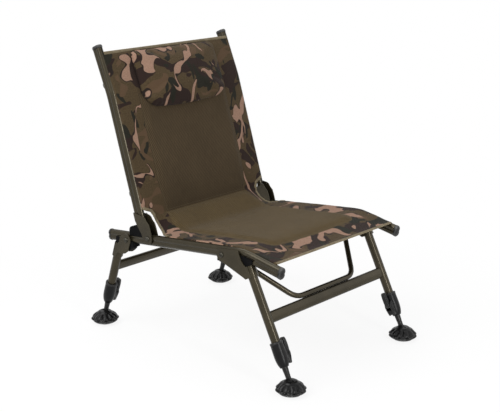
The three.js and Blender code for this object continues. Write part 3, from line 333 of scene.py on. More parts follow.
def back_bulge(x, distance):
    """How far the padded back stands out between the rails"""
    return BACK_BULGE * max(0, 1 - (x / EDGE_HALF_WIDTH) ** 4) * back_ends(distance)


def ripple(x, along):
    """Stretched cloth's unevenness: slack in the middle, ripples beside the rails"""
    slack = noise.noise(Vector((x * 7, along * 7, 1.7))) * 0.0009
    pull = smooth(0.15, 0.235, abs(x))
    return slack + pull * noise.noise(Vector((x * 9, along * 34, 5.1))) * 0.0008


def seat_spot(x, distance, lift=0.0):
    settle = smooth(0, RAMP, distance) * smooth(0, SEAM_REACH, SEAT.length - distance)
    half, droop = seat_edge(distance)
    sag = SEAT_SAG * max(0, 1 - (x / EDGE_HALF_WIDTH) ** 2) * settle
    sag += droop * smooth(CREASE_PANEL_HALF, half, abs(x))
    return SEAT.at(distance, lift - sag + ripple(x, -distance) * settle, x)


def back_spot(x, distance, lift=0.0):
    bulge = back_bulge(x, distance)
    return BACK.at(distance, lift + bulge + ripple(x, distance) * back_ends(distance), x)


# Materials

# The scale at which a wave texture has one band a metre
WAVE_SCALE = 0.314159


def srgb(*levels):
    """A linear colour from 0 to 255 screen values"""
    linear = [((c / 255 + 0.055) / 1.055) ** 2.4 if c > 10 else c / 255 / 12.92 for c in levels]
    return (*linear, 1)


class Finish:
    """A procedural material and short ways to add its nodes"""

    def __init__(self, name, color, roughness, metallic=0, gloss=0.5, sheen=0):
        self.material = bpy.data.materials.new(name)
        self.material.use_nodes = True
        self.material.diffuse_color = color
        self.tree = self.material.node_tree
        self.shader = self.tree.nodes["Principled BSDF"]
        for label, level in (("Base Color", color), ("Roughness", roughness), ("Metallic", metallic),
                             ("Specular IOR Level", gloss), ("Sheen Weight", sheen)):
            self.set(label, level)

    def set(self, label, value):
        """Sets a socket of the shader, or links an output to it"""
        self.plug(self.shader.inputs[label], value)

    def plug(self, socket, value):
        if isinstance(value, bpy.types.NodeSocket):
            self.tree.links.new(value, socket)
        else:
            socket.default_value = value

    def node(self, kind, inputs=None, **settings):
        made = self.tree.nodes.new(kind)
        for label, value in settings.items():
            setattr(made, label, value)
        for label, value in (inputs or {}).items():
            self.plug(made.inputs[label], value)
        return made

    def place(self, source="Object", scale=(1, 1, 1), shift=(0, 0, 0), turn=0):
        """Coordinates in metres: the piece's own, or the cloth's flat ones"""
        if source == "Object":
            base = self.node("ShaderNodeTexCoord").outputs["Object"]
        else:
            base = self.node("ShaderNodeAttribute", attribute_name=source).outputs["Vector"]
        inputs = {"Vector": base, "Scale": scale, "Location": shift, "Rotation": (0, 0, turn)}
        return self.node("ShaderNodeMapping", inputs).outputs["Vector"]

    def noise(self, place, scale, detail=2, distortion=0):
        inputs = {"Vector": place, "Scale": scale, "Detail": detail, "Distortion": distortion}
        return self.node("ShaderNodeTexNoise", inputs).outputs["Fac"]

    def bands(self, place, pitch, axis="X", distortion=0):
        """Soft parallel ridges, one every pitch metres"""
        inputs = {"Vector": place, "Scale": WAVE_SCALE / pitch, "Distortion": distortion, "Detail": 0}
        return self.node("ShaderNodeTexWave", inputs, bands_direction=axis).outputs["Fac"]

    def span(self, value, low, high, to_low=0, to_high=1):
        inputs = {"Value": value, "From Min": low, "From Max": high, "To Min": to_low, "To Max": to_high}
        return self.node("ShaderNodeMapRange", inputs).outputs["Result"]

    def math(self, operation, a, b=0):
        return self.node("ShaderNodeMath", {0: a, 1: b}, operation=operation).outputs["Value"]

    def mix(self, share, a, b, blend="MIX"):
        made = self.node("ShaderNodeMix", {0: share, 6: a, 7: b}, data_type="RGBA", blend_type=blend)
        return made.outputs[2]

    def tones(self, value, low, high, color_low, color_high):
        """One colour where the value is low, the other where it is high"""
        return self.mix(self.span(value, low, high), color_low, color_high)

    def bump(self, height, depth, strength=1, below=None):
        inputs = {"Height": height, "Distance": depth, "Strength": strength}
        if below:
            inputs["Normal"] = below
        return self.node("ShaderNodeBump", inputs).outputs["Normal"]

    def done(self, color, normal, rough=None):
        """Links colour, normal and a grain between two roughnesses, and gives the material"""
        self.set("Base Color", color)
        self.set("Normal", normal)
        if rough:
            grain, least, most = rough
            self.set("Roughness", self.span(grain, 0.3, 0.7, least, most))
        return self.material


def weave(look, place, pitch):
    """A plain weave's height: warp and weft threads that pass over each other"""
    return look.math("MAXIMUM", look.bands(place, pitch, "X"), look.bands(place, pitch, "Y"))


def soft_edges(look):
    """Normals that round a solid's edges a little"""
    return look.node("ShaderNodeBevel", {"Radius": 0.0007}, samples=4).outputs["Normal"]


def stitch_row(look, across, along, inset, pitch=0.0038, width=0.0012):
    """1 on the stitches of a row that runs this far in from an edge"""
    off_line = look.math("ABSOLUTE", look.math("SUBTRACT", across, inset))
    near = look.span(off_line, width / 2, width / 3)
    share = look.math("FRACT", look.math("DIVIDE", along, pitch))
    return look.math("MULTIPLY", near, look.span(share, 0.74, 0.7))


def axes(look, place):
    made = look.node("ShaderNodeSeparateXYZ", {"Vector": place})
    return made.outputs["X"], made.outputs["Y"]


def olive_metal():
    """Satin olive-grey coat on aluminium, with a fine grain, a few places paler from wear, and painted
    shade where the surface turns away from the view
    """
    look = Finish("olive_metal", srgb(60, 55, 42), 0.3, 0.55, gloss=0.32)
    place = look.place()
    color = look.tones(look.noise(place, 14, 3), 0.3, 0.7, srgb(51, 46, 34), srgb(63, 57, 43))
    # A few places paler from wear
    paler_share = look.span(look.noise(place, 40, 3, 0.6), 0.66, 0.78, 0, 0.15)
    color = look.mix(paler_share, color, srgb(98, 91, 74))
    # Painted shade: the colour darkens towards the outlines, where the surface turns away from the camera
    painted_grazing_shade = look.node("ShaderNodeLayerWeight", {"Blend": 0.5}).outputs["Facing"]
    color = look.mix(look.span(painted_grazing_shade, 0.45, 0.95, 0, 0.75), color, srgb(26, 24, 18))
    normal = look.bump(look.noise(place, 700, 2), 0.00002, 0.06, soft_edges(look))
    return look.done(color, normal, (look.noise(place, 60, 3), 0.2, 0.27))


def black_metal():
    """Satin black coat of the inner legs, with faint draw lines along them"""
    look = Finish("black_metal", srgb(24, 24, 23), 0.34, 0.35, gloss=0.35)
    lines = look.noise(look.place(scale=(1, 1, 0.03)), 700, 2)
    color = look.tones(lines, 0.35, 0.65, srgb(18, 18, 18), srgb(34, 33, 31))
    return look.done(color, look.bump(lines, 0.00005, 0.5), (lines, 0.26, 0.42))


def black_plastic():
    """Moulded black plastic: eroded grain, a trace of dust, and sharp outer edges made paler, partly as
    wear and partly as a painted highlight
    """
    look = Finish("black_plastic", srgb(10, 10, 10), 0.3, gloss=0.2)
    place = look.place()
    dusty = look.noise(place, 22, 4)
    color = look.tones(dusty, 0.4, 0.75, srgb(6, 6, 7), srgb(16, 15, 15))
    # Paler on sharp outer edges: partly wear, partly a painted highlight of edges that catch the light
    paler_share = look.span(look.node("ShaderNodeNewGeometry").outputs["Pointiness"], 0.53, 0.62)
    color = look.mix(paler_share, color, srgb(74, 74, 73))
    normal = look.bump(look.noise(place, 1500, 2), 0.0001, 0.5, soft_edges(look))
    return look.done(color, normal, (dusty, 0.2, 0.36))


def dull_shaded_plastic():
    """Matt black moulding of the blocks under the rails, darker than the other black plastic: partly its
    own duller finish, partly painted shade for the shade under the rails
    """
    look = Finish("dull_shaded_black_plastic", srgb(7, 7, 8), 0.62, gloss=0.06)
    place = look.place()
    grain = look.noise(place, 1100, 2)
    color = look.tones(look.noise(place, 30, 3), 0.4, 0.7, srgb(5, 5, 6), srgb(12, 11, 12))
    normal = look.bump(grain, 0.0001, 0.5, soft_edges(look))
    return look.done(color, normal, (grain, 0.55, 0.72))


def steel(name, bright, dull, roughness):
    """Plated steel with turned marks and some dulling"""
    look = Finish(name, bright, roughness, 1)
    place = look.place()
    marks = look.noise(place, 420, 3)
    color = look.tones(look.noise(place, 60, 3), 0.4, 0.7, bright, dull)
    normal = look.bump(marks, 0.00004, 0.4, soft_edges(look))
    return look.done(color, normal, (marks, roughness * 0.75, roughness * 1.3))


def camo_cloth(name, shift):
    """Printed polyester: branching tan strokes with dark rims over blots of three browns"""
    look = Finish(name, srgb(66, 56, 40), 0.92, sheen=0.04, gloss=0.12)
    place = look.place("flat")
    edge = 0.006

    def motif(stretch, offset, turn, *levels):
        """A noise stretched, shifted and turned over the flat cloth"""
        return look.noise(look.place("flat", stretch, [c + offset for c in shift], turn), *levels)

    blots = motif((0.8, 1, 0.8), 3.1, -0.35, 14, 1.7, 0.9)
    greens = motif((1, 0.8, 1), -5.3, 1.1, 14.5, 1.4, 1.2)
    lines = motif((1, 0.72, 1), 0, 0.55, 11, 1.5, 0.9)
    broken = motif((1, 1, 1), 9.7, 0, 17, 0.5, 0.4)
    stroke = look.math("ABSOLUTE", look.math("SUBTRACT", lines, 0.5))
    reach = look.span(broken, 0.44, 0.6, 0, 0.055)
    soft = look.noise(place, 240, 2)
    color = look.tones(soft, 0.3, 0.7, srgb(66, 54, 37), srgb(78, 65, 46))
    color = look.tones(blots, 0.53, 0.53 + edge, color, srgb(42, 31, 27))
    color = look.tones(greens, 0.59, 0.59 + edge, color, srgb(34, 33, 26))
    color = look.tones(blots, 0.38, 0.38 - edge, color, srgb(84, 66, 49))
    rimmed = look.math("SUBTRACT", look.math("ADD", reach, 0.014), stroke)
    near_tan = look.math("MULTIPLY", look.span(rimmed, 0, edge / 2), look.span(reach, 0, 0.01))
    color = look.mix(near_tan, color, srgb(36, 29, 25))
    sand = look.tones(soft, 0.3, 0.7, srgb(138, 109, 92), srgb(152, 122, 104))
    color = look.tones(look.math("SUBTRACT", reach, stroke), 0, edge / 2, color, sand)
    threads = weave(look, place, 0.0009)
    # Painted shade and light: darker in the hollows between the threads, lighter on their tops
    color = look.mix(1, color, look.span(threads, 0.3, 1, 0.78, 1.04), "MULTIPLY")
    folds = look.bump(look.noise(place, 30, 3), 0.0012, 0.3)
    return look.done(color, look.bump(threads, 0.00025, 0.6, folds))


def ribbed_cloth(name, dark, light, pitch, turn, rib_depth):
    """Olive panel cloth: raised ribs over a weave, painted lighter on the rib tops and darker between them
    and between the threads, with a row of stitches near its edge
    """
    look = Finish(name, light, 0.93, sheen=0.05, gloss=0.1)
    place = look.place("flat")
    ribs = look.bands(look.place("flat", turn=turn), pitch, "X", 0.35)
    threads = weave(look, place, 0.0011)
    slub = look.noise(look.place("flat", (1, 0.08, 1)), 420, 2)
    # Painted light and shade: the rib tops take the light colour, the hollows between them the dark one
    color = look.tones(ribs, 0.1, 0.8, dark, light)
    color = look.mix(look.span(look.noise(place, 9, 3), 0.35, 0.7, 0, 0.5), color, dark)
    color = look.mix(1, color, look.span(slub, 0.3, 0.7, 0.88, 1.1), "MULTIPLY")
    # Painted shade and light: darker in the hollows between the threads, lighter on their tops
    color = look.mix(1, color, look.span(threads, 0.3, 1, 0.84, 1.03), "MULTIPLY")
    x, along = axes(look, place)
    from_side, from_end = axes(look, look.place("reach"))
    rows = [look.math("MULTIPLY", stitch_row(look, near, run, STITCH_INSET),
                        look.span(other, STITCH_INSET - 0.0002, STITCH_INSET))
            for near, run, other in ((from_side, along, from_end), (from_end, x, from_side))]
    stitches = look.math("MAXIMUM", *rows)
    sewn = look.bump(stitches, 0.0005, 0.8, look.bump(ribs, rib_depth, 0.8))
    return look.done(look.mix(stitches, color, THREAD), look.bump(threads, 0.00025, 0.6, sewn))


def woven_cloth(name, color, pale, pitch, stitched=False):
    """Plain woven tape or backing cloth with paler places of wear and painted shade between its threads,
    the tape stitched
    """
    look = Finish(name, color, 0.9, sheen=0.05, gloss=0.25)
    place = look.place("flat")
    threads = weave(look, place, pitch)
    wear_and_weave_shade = look.tones(look.noise(place, 40, 3), 0.35, 0.7, color, pale)
    # Painted shade and light: darker in the hollows between the threads, lighter on their tops
    wear_and_weave_shade = look.mix(1, wear_and_weave_shade, look.span(threads, 0.3, 1, 0.8, 1.04), "MULTIPLY")
    normal = look.bump(threads, 0.0003, 0.6)
    if stitched:
        across, along = axes(look, place)
        stitches = stitch_row(look, look.math("ABSOLUTE", across), along, TAPE_STITCH_INSET)
        wear_and_weave_shade = look.mix(stitches, wear_and_weave_shade, THREAD)
        normal = look.bump(stitches, 0.0004, 0.8, normal)
    return look.done(wear_and_weave_shade, normal)


STITCH_INSET, TAPE_STITCH_INSET = 0.0055, 0.0016
THREAD = srgb(86, 75, 54)
SLOT_FINISHES = {
    "frame_metal": olive_metal(),
    "black_plastic": black_plastic(),
    "leg_metal": black_metal(),
    "bright_steel": steel("bright_steel", srgb(196, 196, 194), srgb(150, 150, 148), 0.24),
    "dark_steel": steel("dark_steel", srgb(72, 70, 63), srgb(48, 46, 41), 0.34),
}
SHADED_BLOCK_FINISH = dull_shaded_plastic()
PLASTIC = SLOT_FINISHES["black_plastic"]
CAMO = camo_cloth("camo_cloth", (2.35, 0.7, 0.4))
PILLOW_CAMO = camo_cloth("pillow_camo_cloth", (1.9, 0.6, 0.2))
SEAT_CLOTH = ribbed_cloth("seat_panel_cloth", srgb(70, 58, 38), srgb(90, 75, 49), 0.0056, 0, 0.0005)
BACK_CLOTH = ribbed_cloth("back_panel_cloth", srgb(59, 49, 35), srgb(79, 66, 48), 0.005, 0.75, 0.0004)
BACKING = woven_cloth("backing_cloth", srgb(40, 36, 27), srgb(50, 45, 34), 0.0014)
TAPE = woven_cloth("binding_tape", srgb(112, 101, 79), srgb(134, 122, 98), 0.0012, stitched=True)


# Frame nodes

def smooth_solid_group():
    """Welds a faceted solid's corners and shades its shallow edges smooth"""
    group = bpy.data.node_groups.new("smooth_solid", "GeometryNodeTree")
    for way in ("INPUT", "OUTPUT"):
        group.interface.new_socket("Geometry", in_out=way, socket_type="NodeSocketGeometry")
    nodes, links = group.nodes, group.links
    plain = nodes.new("GeometryNodeRemoveAttribute")
    plain.inputs["Name"].default_value = "custom_normal"
    weld = nodes.new("GeometryNodeMergeByDistance")
    weld.inputs["Distance"].default_value = WELD
    angle = nodes.new("GeometryNodeInputMeshEdgeAngle")
    steep = nodes.new("FunctionNodeCompare")
    steep.operation = "GREATER_THAN"
    steep.inputs["B"].default_value = FRAME_SHARP
    sharp = nodes.new("GeometryNodeSetShadeSmooth")
    sharp.domain = "EDGE"
    sharp.inputs["Shade Smooth"].default_value = False
    chain = (nodes.new("NodeGroupInput"), plain, weld, nodes.new("GeometryNodeSetShadeSmooth"), sharp,
             nodes.new("NodeGroupOutput"))
    for before, after in zip(chain, chain[1:]):
        links.new(before.outputs[0], after.inputs[0])
    links.new(angle.outputs["Unsigned Angle"], steep.inputs["A"])
    links.new(steep.outputs["Result"], sharp.inputs["Selection"])
    return group


def dress_frame():
    """Gives each rigid node its slot's finish and smooth shading"""
    group = smooth_solid_group()
    for part in frame["record"]["subparts"]:
        material = SLOT_FINISHES.get(part["material_slot"])
        if material is None:
            continue
        # The blocks under the rails get the darker, duller black plastic, partly as painted shade
        if "_block" in part["node"]:
            material = SHADED_BLOCK_FINISH
        node = frame["nodes"][part["node"]]
        if node.material_slots:
            for place in node.material_slots:
                place.material = material
        else:
            node.data.materials.append(material)
        node.modifiers.new("smooth_solid", "NODES").node_group = group


def spreader_bar():
    """The U-shaped bar with a coat on its low run, which closes the sight line to the brace"""
    node = frame["nodes"]["front_spreader_bar"]
    mesh = node.data.copy()
    mesh.transform(node.matrix_world)
    piece = link_new("spreader_bar", mesh)
    fix_normals(piece, weld=True)
    heights = [point.co.z for point in mesh.vertices]
    middle = (min(heights) + max(heights)) / 2
    low_run = piece.vertex_groups.new(name="low_run")
    low_run.add([i for i, height in enumerate(heights) if height < middle], 1, "REPLACE")
    coat = piece.modifiers.new("coat", "DISPLACE")
    coat.mid_level = 0
    coat.strength = COAT
    coat.vertex_group = low_run.name
    settle_mesh(piece)
    piece.data.set_sharp_from_angle(angle=FRAME_SHARP)
    piece.data.materials.clear()
    piece.data.materials.append(SLOT_FINISHES["frame_metal"])
    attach(piece, "front_leg_frame")
    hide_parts("front_spreader_bar")


# Meshes

def link_new(name, data):
    made = bpy.data.objects.new(name, data)
    scene.collection.objects.link(made)
    return made


def add_piece(name, points, faces, material, flat=None):
    mesh = bpy.data.meshes.new(name)
    mesh.from_pydata(points, [], faces)
    mesh.materials.append(material)
    mesh.shade_smooth()
    if flat:
        mark(mesh, "flat", flat)
    return link_new(name, mesh)


def closed_piece(name, points, faces, material, flat=None):
    piece = add_piece(name, points, faces, material, flat)
    fix_normals(piece)
    return piece


def mark(mesh, name, spots):
    """Stores a place for each point, which the materials read by this name"""
    layer = mesh.attributes.new(name, "FLOAT_VECTOR", "POINT")
    layer.data.foreach_set("vector", [value for spot in spots for value in spot])


def grid_faces(rows, columns):
    return [(a, a + 1, a + columns + 1, a + columns)
            for r in range(rows - 1) for a in range(r * columns, (r + 1) * columns - 1)]


def shell_faces(rows, columns):
    """An upper grid, a lower grid turned over, and the strip that joins their edges"""
    total = rows * columns
    upper = grid_faces(rows, columns)
    lower = [tuple(total + i for i in face[::-1]) for face in upper]
    loop = list(range(columns)) + [r * columns + columns - 1 for r in range(1, rows)]
    loop += [(rows - 1) * columns + c for c in range(columns - 2, -1, -1)]
    loop += [r * columns for r in range(rows - 2, 0, -1)]
    return upper + lower + [(a, total + a, total + b, b) for a, b in zip(loop, loop[1:] + loop[:1])]


def ring_faces(rings, sides, closed=False):
    """The quads between rings of points, and from the last ring to the first where closed"""
    faces = []
    for r in range(rings if closed else rings - 1):
        after = (r + 1) % rings * sides
        for k in range(sides):
            beside = (k + 1) % sides
            faces.append((r * sides + k, r * sides + beside, after + beside, after + k))
    return faces


def circle(radius, sides):
    angles = [2 * pi * k / sides for k in range(sides)]
    return [(radius * cos(angle), radius * sin(angle)) for angle in angles]


def steps(low, high, pitch):
    count = max(1, round((high - low) / pitch))
    return [low + (high - low) * i / count for i in range(count + 1)]


# Cloth

def follow_fold(piece):
    """Bakes the piece's placement into its mesh"""
    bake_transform(piece)


def cover_row(path_spot, half, distance, along, held):
    """One row across the cover, its edges tucked down where the rail channels hold them"""
    depth = FREE_EDGE_DEPTH + (TUCK_DEPTH - FREE_EDGE_DEPTH) * held
    flat_half = half - FLAT_INSET
    edge = [(half - EDGE_INSET, -depth), (half - EDGE_INSET, -depth / 2)]
    edge += [(half - inset, -low) for inset, low in EDGE_ROUND]
    columns = steps(-flat_half, flat_half, flat_half * 2 / COVER_COLUMNS)
    spots = [(-x, lift) for x, lift in edge] + [(x, 0) for x in columns] + edge[::-1]
    points = [path_spot(x, distance, lift)[0] for x, lift in spots]
    return points, [(x, along, 0.0) for x, _ in spots]


def cover():
    """One sewn sheet over seat and back, from the front hem through the crease to the top hem"""
    rows = [(seat_spot, seat_edge(d)[0], d, -d, smooth(SEAT_HOLD_START, SEAT_HOLD_END, d))
            for d in steps(0, SEAT.length, COVER_STEP)[::-1]]
    rows += [(back_spot, back_half_width(d), d, d, smooth(BACK_HOLD_START, BACK_HOLD_END, d))
             for d in steps(0, BACK.length, COVER_STEP)[1:]]
    points, flat = [], []
    for row in rows:
        row_points, row_marks = cover_row(*row)
        points += row_points
        flat += row_marks
    piece = add_piece("cover", points, grid_faces(len(rows), len(row_points)), CAMO, flat)
    piece.data.materials.append(BACKING)
    area = sum(face.area for face in piece.data.polygons)
    shell = piece.modifiers.new("thickness", "SOLIDIFY")
    shell.thickness = CLOTH_THICKNESS
    shell.offset = 0
    shell.material_offset = 1
    follow_fold(piece)
    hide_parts("seat_cover", "back_cover")
    return piece, area


def panel(name, spot, corners, rising, material):
    """A padded panel with a shallower swell below. corners(u, v) gives x and distance; the panel comes
    to its full height between the two distances in rising"""
    length = abs(corners(0, 1)[1] - corners(0, -1)[1])
    across, along = edge_steps(2 * SEAT_PANEL_HALF), edge_steps(length)
    top, low, flat, reach = [], [], [], []
    for v in along:
        for u in across:
            x, distance = corners(u, v)
            reach_u = (1 - abs(u)) * SEAT_PANEL_HALF
            reach_v = (1 - abs(v)) * length / 2
            swell = smooth(0, PANEL_ROUND, reach_u) * smooth(0, PANEL_ROUND, reach_v)
            rise = SEAM_RISE + (PANEL_RISE - SEAM_RISE) * smooth(*rising, distance)
            top.append(spot(x, distance, SEAM_HALF + rise * swell)[0])
            low.append(spot(x, distance, -SEAM_HALF - PANEL_UNDER * swell)[0])
            flat.append((x, distance, 0.0))
            reach.append((reach_u, reach_v, 0.0))
    piece = closed_piece(name, top + low, shell_faces(len(along), len(across)), material, flat + flat)
    mark(piece.data, "reach", reach + reach)
    follow_fold(piece)


def edge_steps(length):
    """Shares from -1 to 1 that crowd towards both edges of a panel this long"""
    near = [0, 0.0004, 0.0012, 0.0026, 0.0046, 0.0072, 0.0104, 0.0145, 0.0195]
    middle = steps(0.026, length - 0.026, 0.008)
    places = near + middle + [length - place for place in near[::-1]]
    return [2 * place / length - 1 for place in places]


def corner_draw(reach, radius):
    """How far a round corner has drawn the side in, at this reach from the end"""
    inner = max(0.0, radius - reach)
    return radius - sqrt(radius * radius - inner * inner)


def dome(share):
    """A quarter round: 0 at the seam, 1 from share 1 on"""
    inner = min(max(share, 0), 1)
    return sqrt(1 - (1 - inner) ** 2)


def fix_normals(piece, weld=False):
    """Turns all faces outward, once the doubled points are one where asked"""
    work = bmesh.new()
    work.from_mesh(piece.data)
    if weld:
        bmesh.ops.remove_doubles(work, verts=work.verts, dist=WELD)
    bmesh.ops.recalc_face_normals(work, faces=work.faces)
    work.to_mesh(piece.data)
    work.free()


def waver(distance, seed):
    """The small wandering of a sewn edge"""
    return noise.noise(Vector((distance * 16, seed, 0.4))) * 0.0026


def seat_panel():
    def corners(u, v):
        front = SEAT_PANEL_FRONT - SEAT_PANEL_BOW * u * u + waver(u * 0.3, 2.2) * (v + 1) / 2
        distance = front * (v + 1) / 2
        half = CREASE_PANEL_HALF + (SEAT_PANEL_HALF - CREASE_PANEL_HALF) * smooth(0, RAMP * 0.7, distance)
        half += waver(distance, copysign(3.1, u)) - corner_draw(front - distance, PANEL_CORNER)
        return u * half, distance

    panel("seat_panel", seat_spot, corners, (RAMP * 0.8, RAMP * 1.6), SEAT_CLOTH)


def back_panel():
    def corners(u, v):
        distance = BACK_PANEL_TOP * (v + 1) / 2
        half = CREASE_PANEL_HALF + (BACK_PANEL_HALF - CREASE_PANEL_HALF) * smooth(0, RAMP, distance)
        return u * (half + waver(distance, copysign(7.3, u))), distance

    panel("back_panel", back_spot, corners, (0, SEAM_REACH * 3), BACK_CLOTH)


def pillow_base(share_u, share_v):
    """A place on the upper back: x and distance from the crease for shares from -1 to 1"""
    middle = BACK.length - PILLOW_INSET - PILLOW_HEIGHT / 2
    reach = (1 - abs(share_v)) * PILLOW_HEIGHT / 2
    radius = PILLOW_LOWER_CORNER if share_v < 0 else PILLOW_UPPER_CORNER
    half = PILLOW_HALF_WIDTH - corner_draw(reach, radius)
    bow = PILLOW_BOW * (1 - share_u * share_u) * max(0, -share_v)
    return share_u * half, middle + share_v * PILLOW_HEIGHT / 2 - bow


def headrest():
    """The stuffed headrest: blown up as cloth over its back, which lies flat on the cover"""
    across, along = edge_steps(2 * PILLOW_HALF_WIDTH), edge_steps(PILLOW_HEIGHT)
    top, low = [], []
    for v in along:
        for u in across:
            x, distance = pillow_base(u, v)
            ends = dome((1 - abs(v)) * PILLOW_END_DOME) * dome((1 - abs(u)) * PILLOW_SIDE_DOME)
            base = PILLOW_GAP + panel_top(x, distance)
            low.append(back_spot(x, distance, base)[0])
            top.append(back_spot(x, distance, base + PILLOW_SEAM + PILLOW_CROWN * ends)[0])
    piece = closed_piece("headrest", top + low, shell_faces(len(along), len(across)), PILLOW_CAMO)
    blow_up(piece, lies_on_back, PILLOW_CAP)
    mark(piece.data, "flat", [(p.co.x, BACK.locate(p.co)[0], 0.0) for p in piece.data.vertices])
    rounded = piece.modifiers.new("rounded", "SUBSURF")
    rounded.levels = rounded.render_levels = 1
    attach(piece, "backrest")
    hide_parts("headrest_pillow")


def lies_on_back(point):
    """Whether a point of the headrest belongs to its flat back"""
    distance, lift = BACK.locate(point)
    return lift < PILLOW_HELD + panel_top(point.x, distance) + back_bulge(point.x, distance)


def settle_mesh(piece):
    """Makes the piece's modifiers part of its mesh"""
    graph = bpy.context.evaluated_depsgraph_get()
    mesh = bpy.data.meshes.new_from_object(piece.evaluated_get(graph), depsgraph=graph)
    old = piece.data
    piece.modifiers.clear()
    piece.data = mesh
    mesh.name = piece.name
    bpy.data.meshes.remove(old)
    mesh.shade_smooth()


def blow_up(piece, is_held, cap, voxel=0.005, pressure=4.0, frames=20):
    """Remeshes a closed piece and fills it with air as cloth; no point moves further than the cap"""
    remesh = piece.modifiers.new("remesh", "REMESH")
    remesh.mode = "VOXEL"
    remesh.voxel_size = voxel
    settle_mesh(piece)
    before = [point.co.copy() for point in piece.data.vertices]
    held = piece.vertex_groups.new(name="held")
    held.add([i for i, place in enumerate(before) if is_held(place)], 1, "REPLACE")
    cloth = piece.modifiers.new("cloth", "CLOTH")
    cloth.settings.use_pressure = True
    cloth.settings.uniform_pressure_force = pressure
    cloth.settings.effector_weights.gravity = 0
    cloth.settings.vertex_group_mass = held.name
    for frame_number in range(1, frames + 1):
        scene.frame_set(frame_number)
    graph = bpy.context.evaluated_depsgraph_get()
    after = [point.co.copy() for point in piece.evaluated_get(graph).data.vertices]
    piece.modifiers.clear()
    for point, start, end in zip(piece.data.vertices, before, after):
        move = end - start
        if move.length > cap:
            move *= cap / move.length
        point.co = start + move
    scene.frame_set(1)


def panel_top(x, distance):
    """How high the back panel stands under the headrest's lower edge"""
    across = smooth(0, PANEL_ROUND, BACK_PANEL_HALF - abs(x))
    return PANEL_RISE * across * smooth(0, PANEL_ROUND, BACK_PANEL_TOP - distance)


def ribbon(name, spots, half_width):
    """A flat oval tape along spots of centre, side and up, closed at both ends"""
    sides = 14
    points, flat = [], []
    along, last = 0.0, spots[0][0]
    for centre, side, up in spots:
        along += (centre - last).length
        last = centre
        for x, y in circle(1, sides):
            wide = copysign(abs(x) ** 0.75, x)
            points.append(centre + side * half_width * wide + up * BINDING_HALF_THICKNESS * y)
            flat.append((half_width * wide, along, 0.0))
    faces = ring_faces(len(spots), sides)
    faces += [tuple(range(sides))[::-1], tuple(range(len(points) - sides, len(points)))]
    return closed_piece(name, points, faces, TAPE, flat)


def hem(name, spot, path, body):
    """Binding tape folded round a hem, from rail to rail"""
    end = EDGE_HALF_WIDTH - BINDING_INSET
    spots = []
    for x in steps(-end, end, 0.008):
        centre, up = spot(x, path.length - BINDING_INSET)
        spots.append((centre, up.cross(X_AXIS), up))
    piece = ribbon(name, spots, HEM_TAPE_HALF)
    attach(piece, body)


def notch_binding(name, side):
    """Binding tape round the cut-out that clears a hinge, bending with the cover"""
    centres = [seat_spot(side * (seat_edge(d)[0] - BINDING_INSET), d)
               for d in steps(0.004, SEAT_HOLD_END, 0.004)[::-1]]
    centres += [back_spot(side * (back_half_width(d) - BINDING_INSET), d)
                for d in steps(0, BACK_HOLD_END, 0.003)]
    spots = []
    for i, (centre, up) in enumerate(centres):
        before, after = centres[max(i - 1, 0)][0], centres[min(i + 1, len(centres) - 1)][0]
        spots.append((centre, (after - before).cross(up).normalized(), up))
    piece = ribbon(name, spots, NOTCH_TAPE_HALF)
    follow_fold(piece)


# Clamp sleeves and cam levers

def leg_frame(joint):
    """The move from a leg's own millimetres (inward, across and up from its ankle) to the chair"""
    pivot = Vector(joint["pos_m"])
    inward = Vector((-copysign(1, pivot.x), 0, 0))
    across = Vector(joint["axis"])
    if inward.cross(across).z < 0:
        across = -across
    up = inward.cross(across)
    ankle = pivot - (inward * CLAMP_PIVOT[0] + up * CLAMP_PIVOT[1]) / 1000
    turn = Matrix((inward, across, up)).transposed().to_4x4()
    return Matrix.Translation(ankle) @ turn @ Matrix.Scale(0.001, 4)


def rounded_plate(name, outline, low, high, soft):
    """A plate with rounded edges: an outline in (x, z), drawn in towards both of its faces"""
    count = len(outline)
    shifts = []
    for i in range(count):
        before, after = outline[i - 1], outline[(i + 1) % count]
        run = Vector((after[0] - before[0], after[1] - before[1])).normalized()
        shifts.append((-run.y, run.x))
    near = soft * 0.35
    points = []
    for y, inset in ((low, soft), (low + near, near), (low + soft, 0.0),
                     (high - soft, 0.0), (high - near, near), (high, soft)):
        points += [(x + dx * inset, y, z + dz * inset) for (x, z), (dx, dz) in zip(outline, shifts)]
    faces = [tuple(range(count)), tuple(range(len(points) - count, len(points)))[::-1]]
    return closed_piece(name, points, faces + ring_faces(len(points) // count, count), PLASTIC)


def turned_ring(name, section, sides=64):
    """A closed section in (radius, height) turned about the leg's axis"""
    points = [(radius * x, radius * y, height) for x, y in circle(1, sides) for radius, height in section]
    return closed_piece(name, points, ring_faces(sides, len(section), closed=True), PLASTIC)


def combine(piece, *jobs):
    """Joins or cuts with each job's tool and removes the tools"""
    for operation, tool in jobs:
        step = piece.modifiers.new(operation, "BOOLEAN")
        step.operation = operation
        step.solver = "EXACT"
        step.object = tool
    settle_mesh(piece)
    for _, tool in jobs:
        bpy.data.objects.remove(tool)


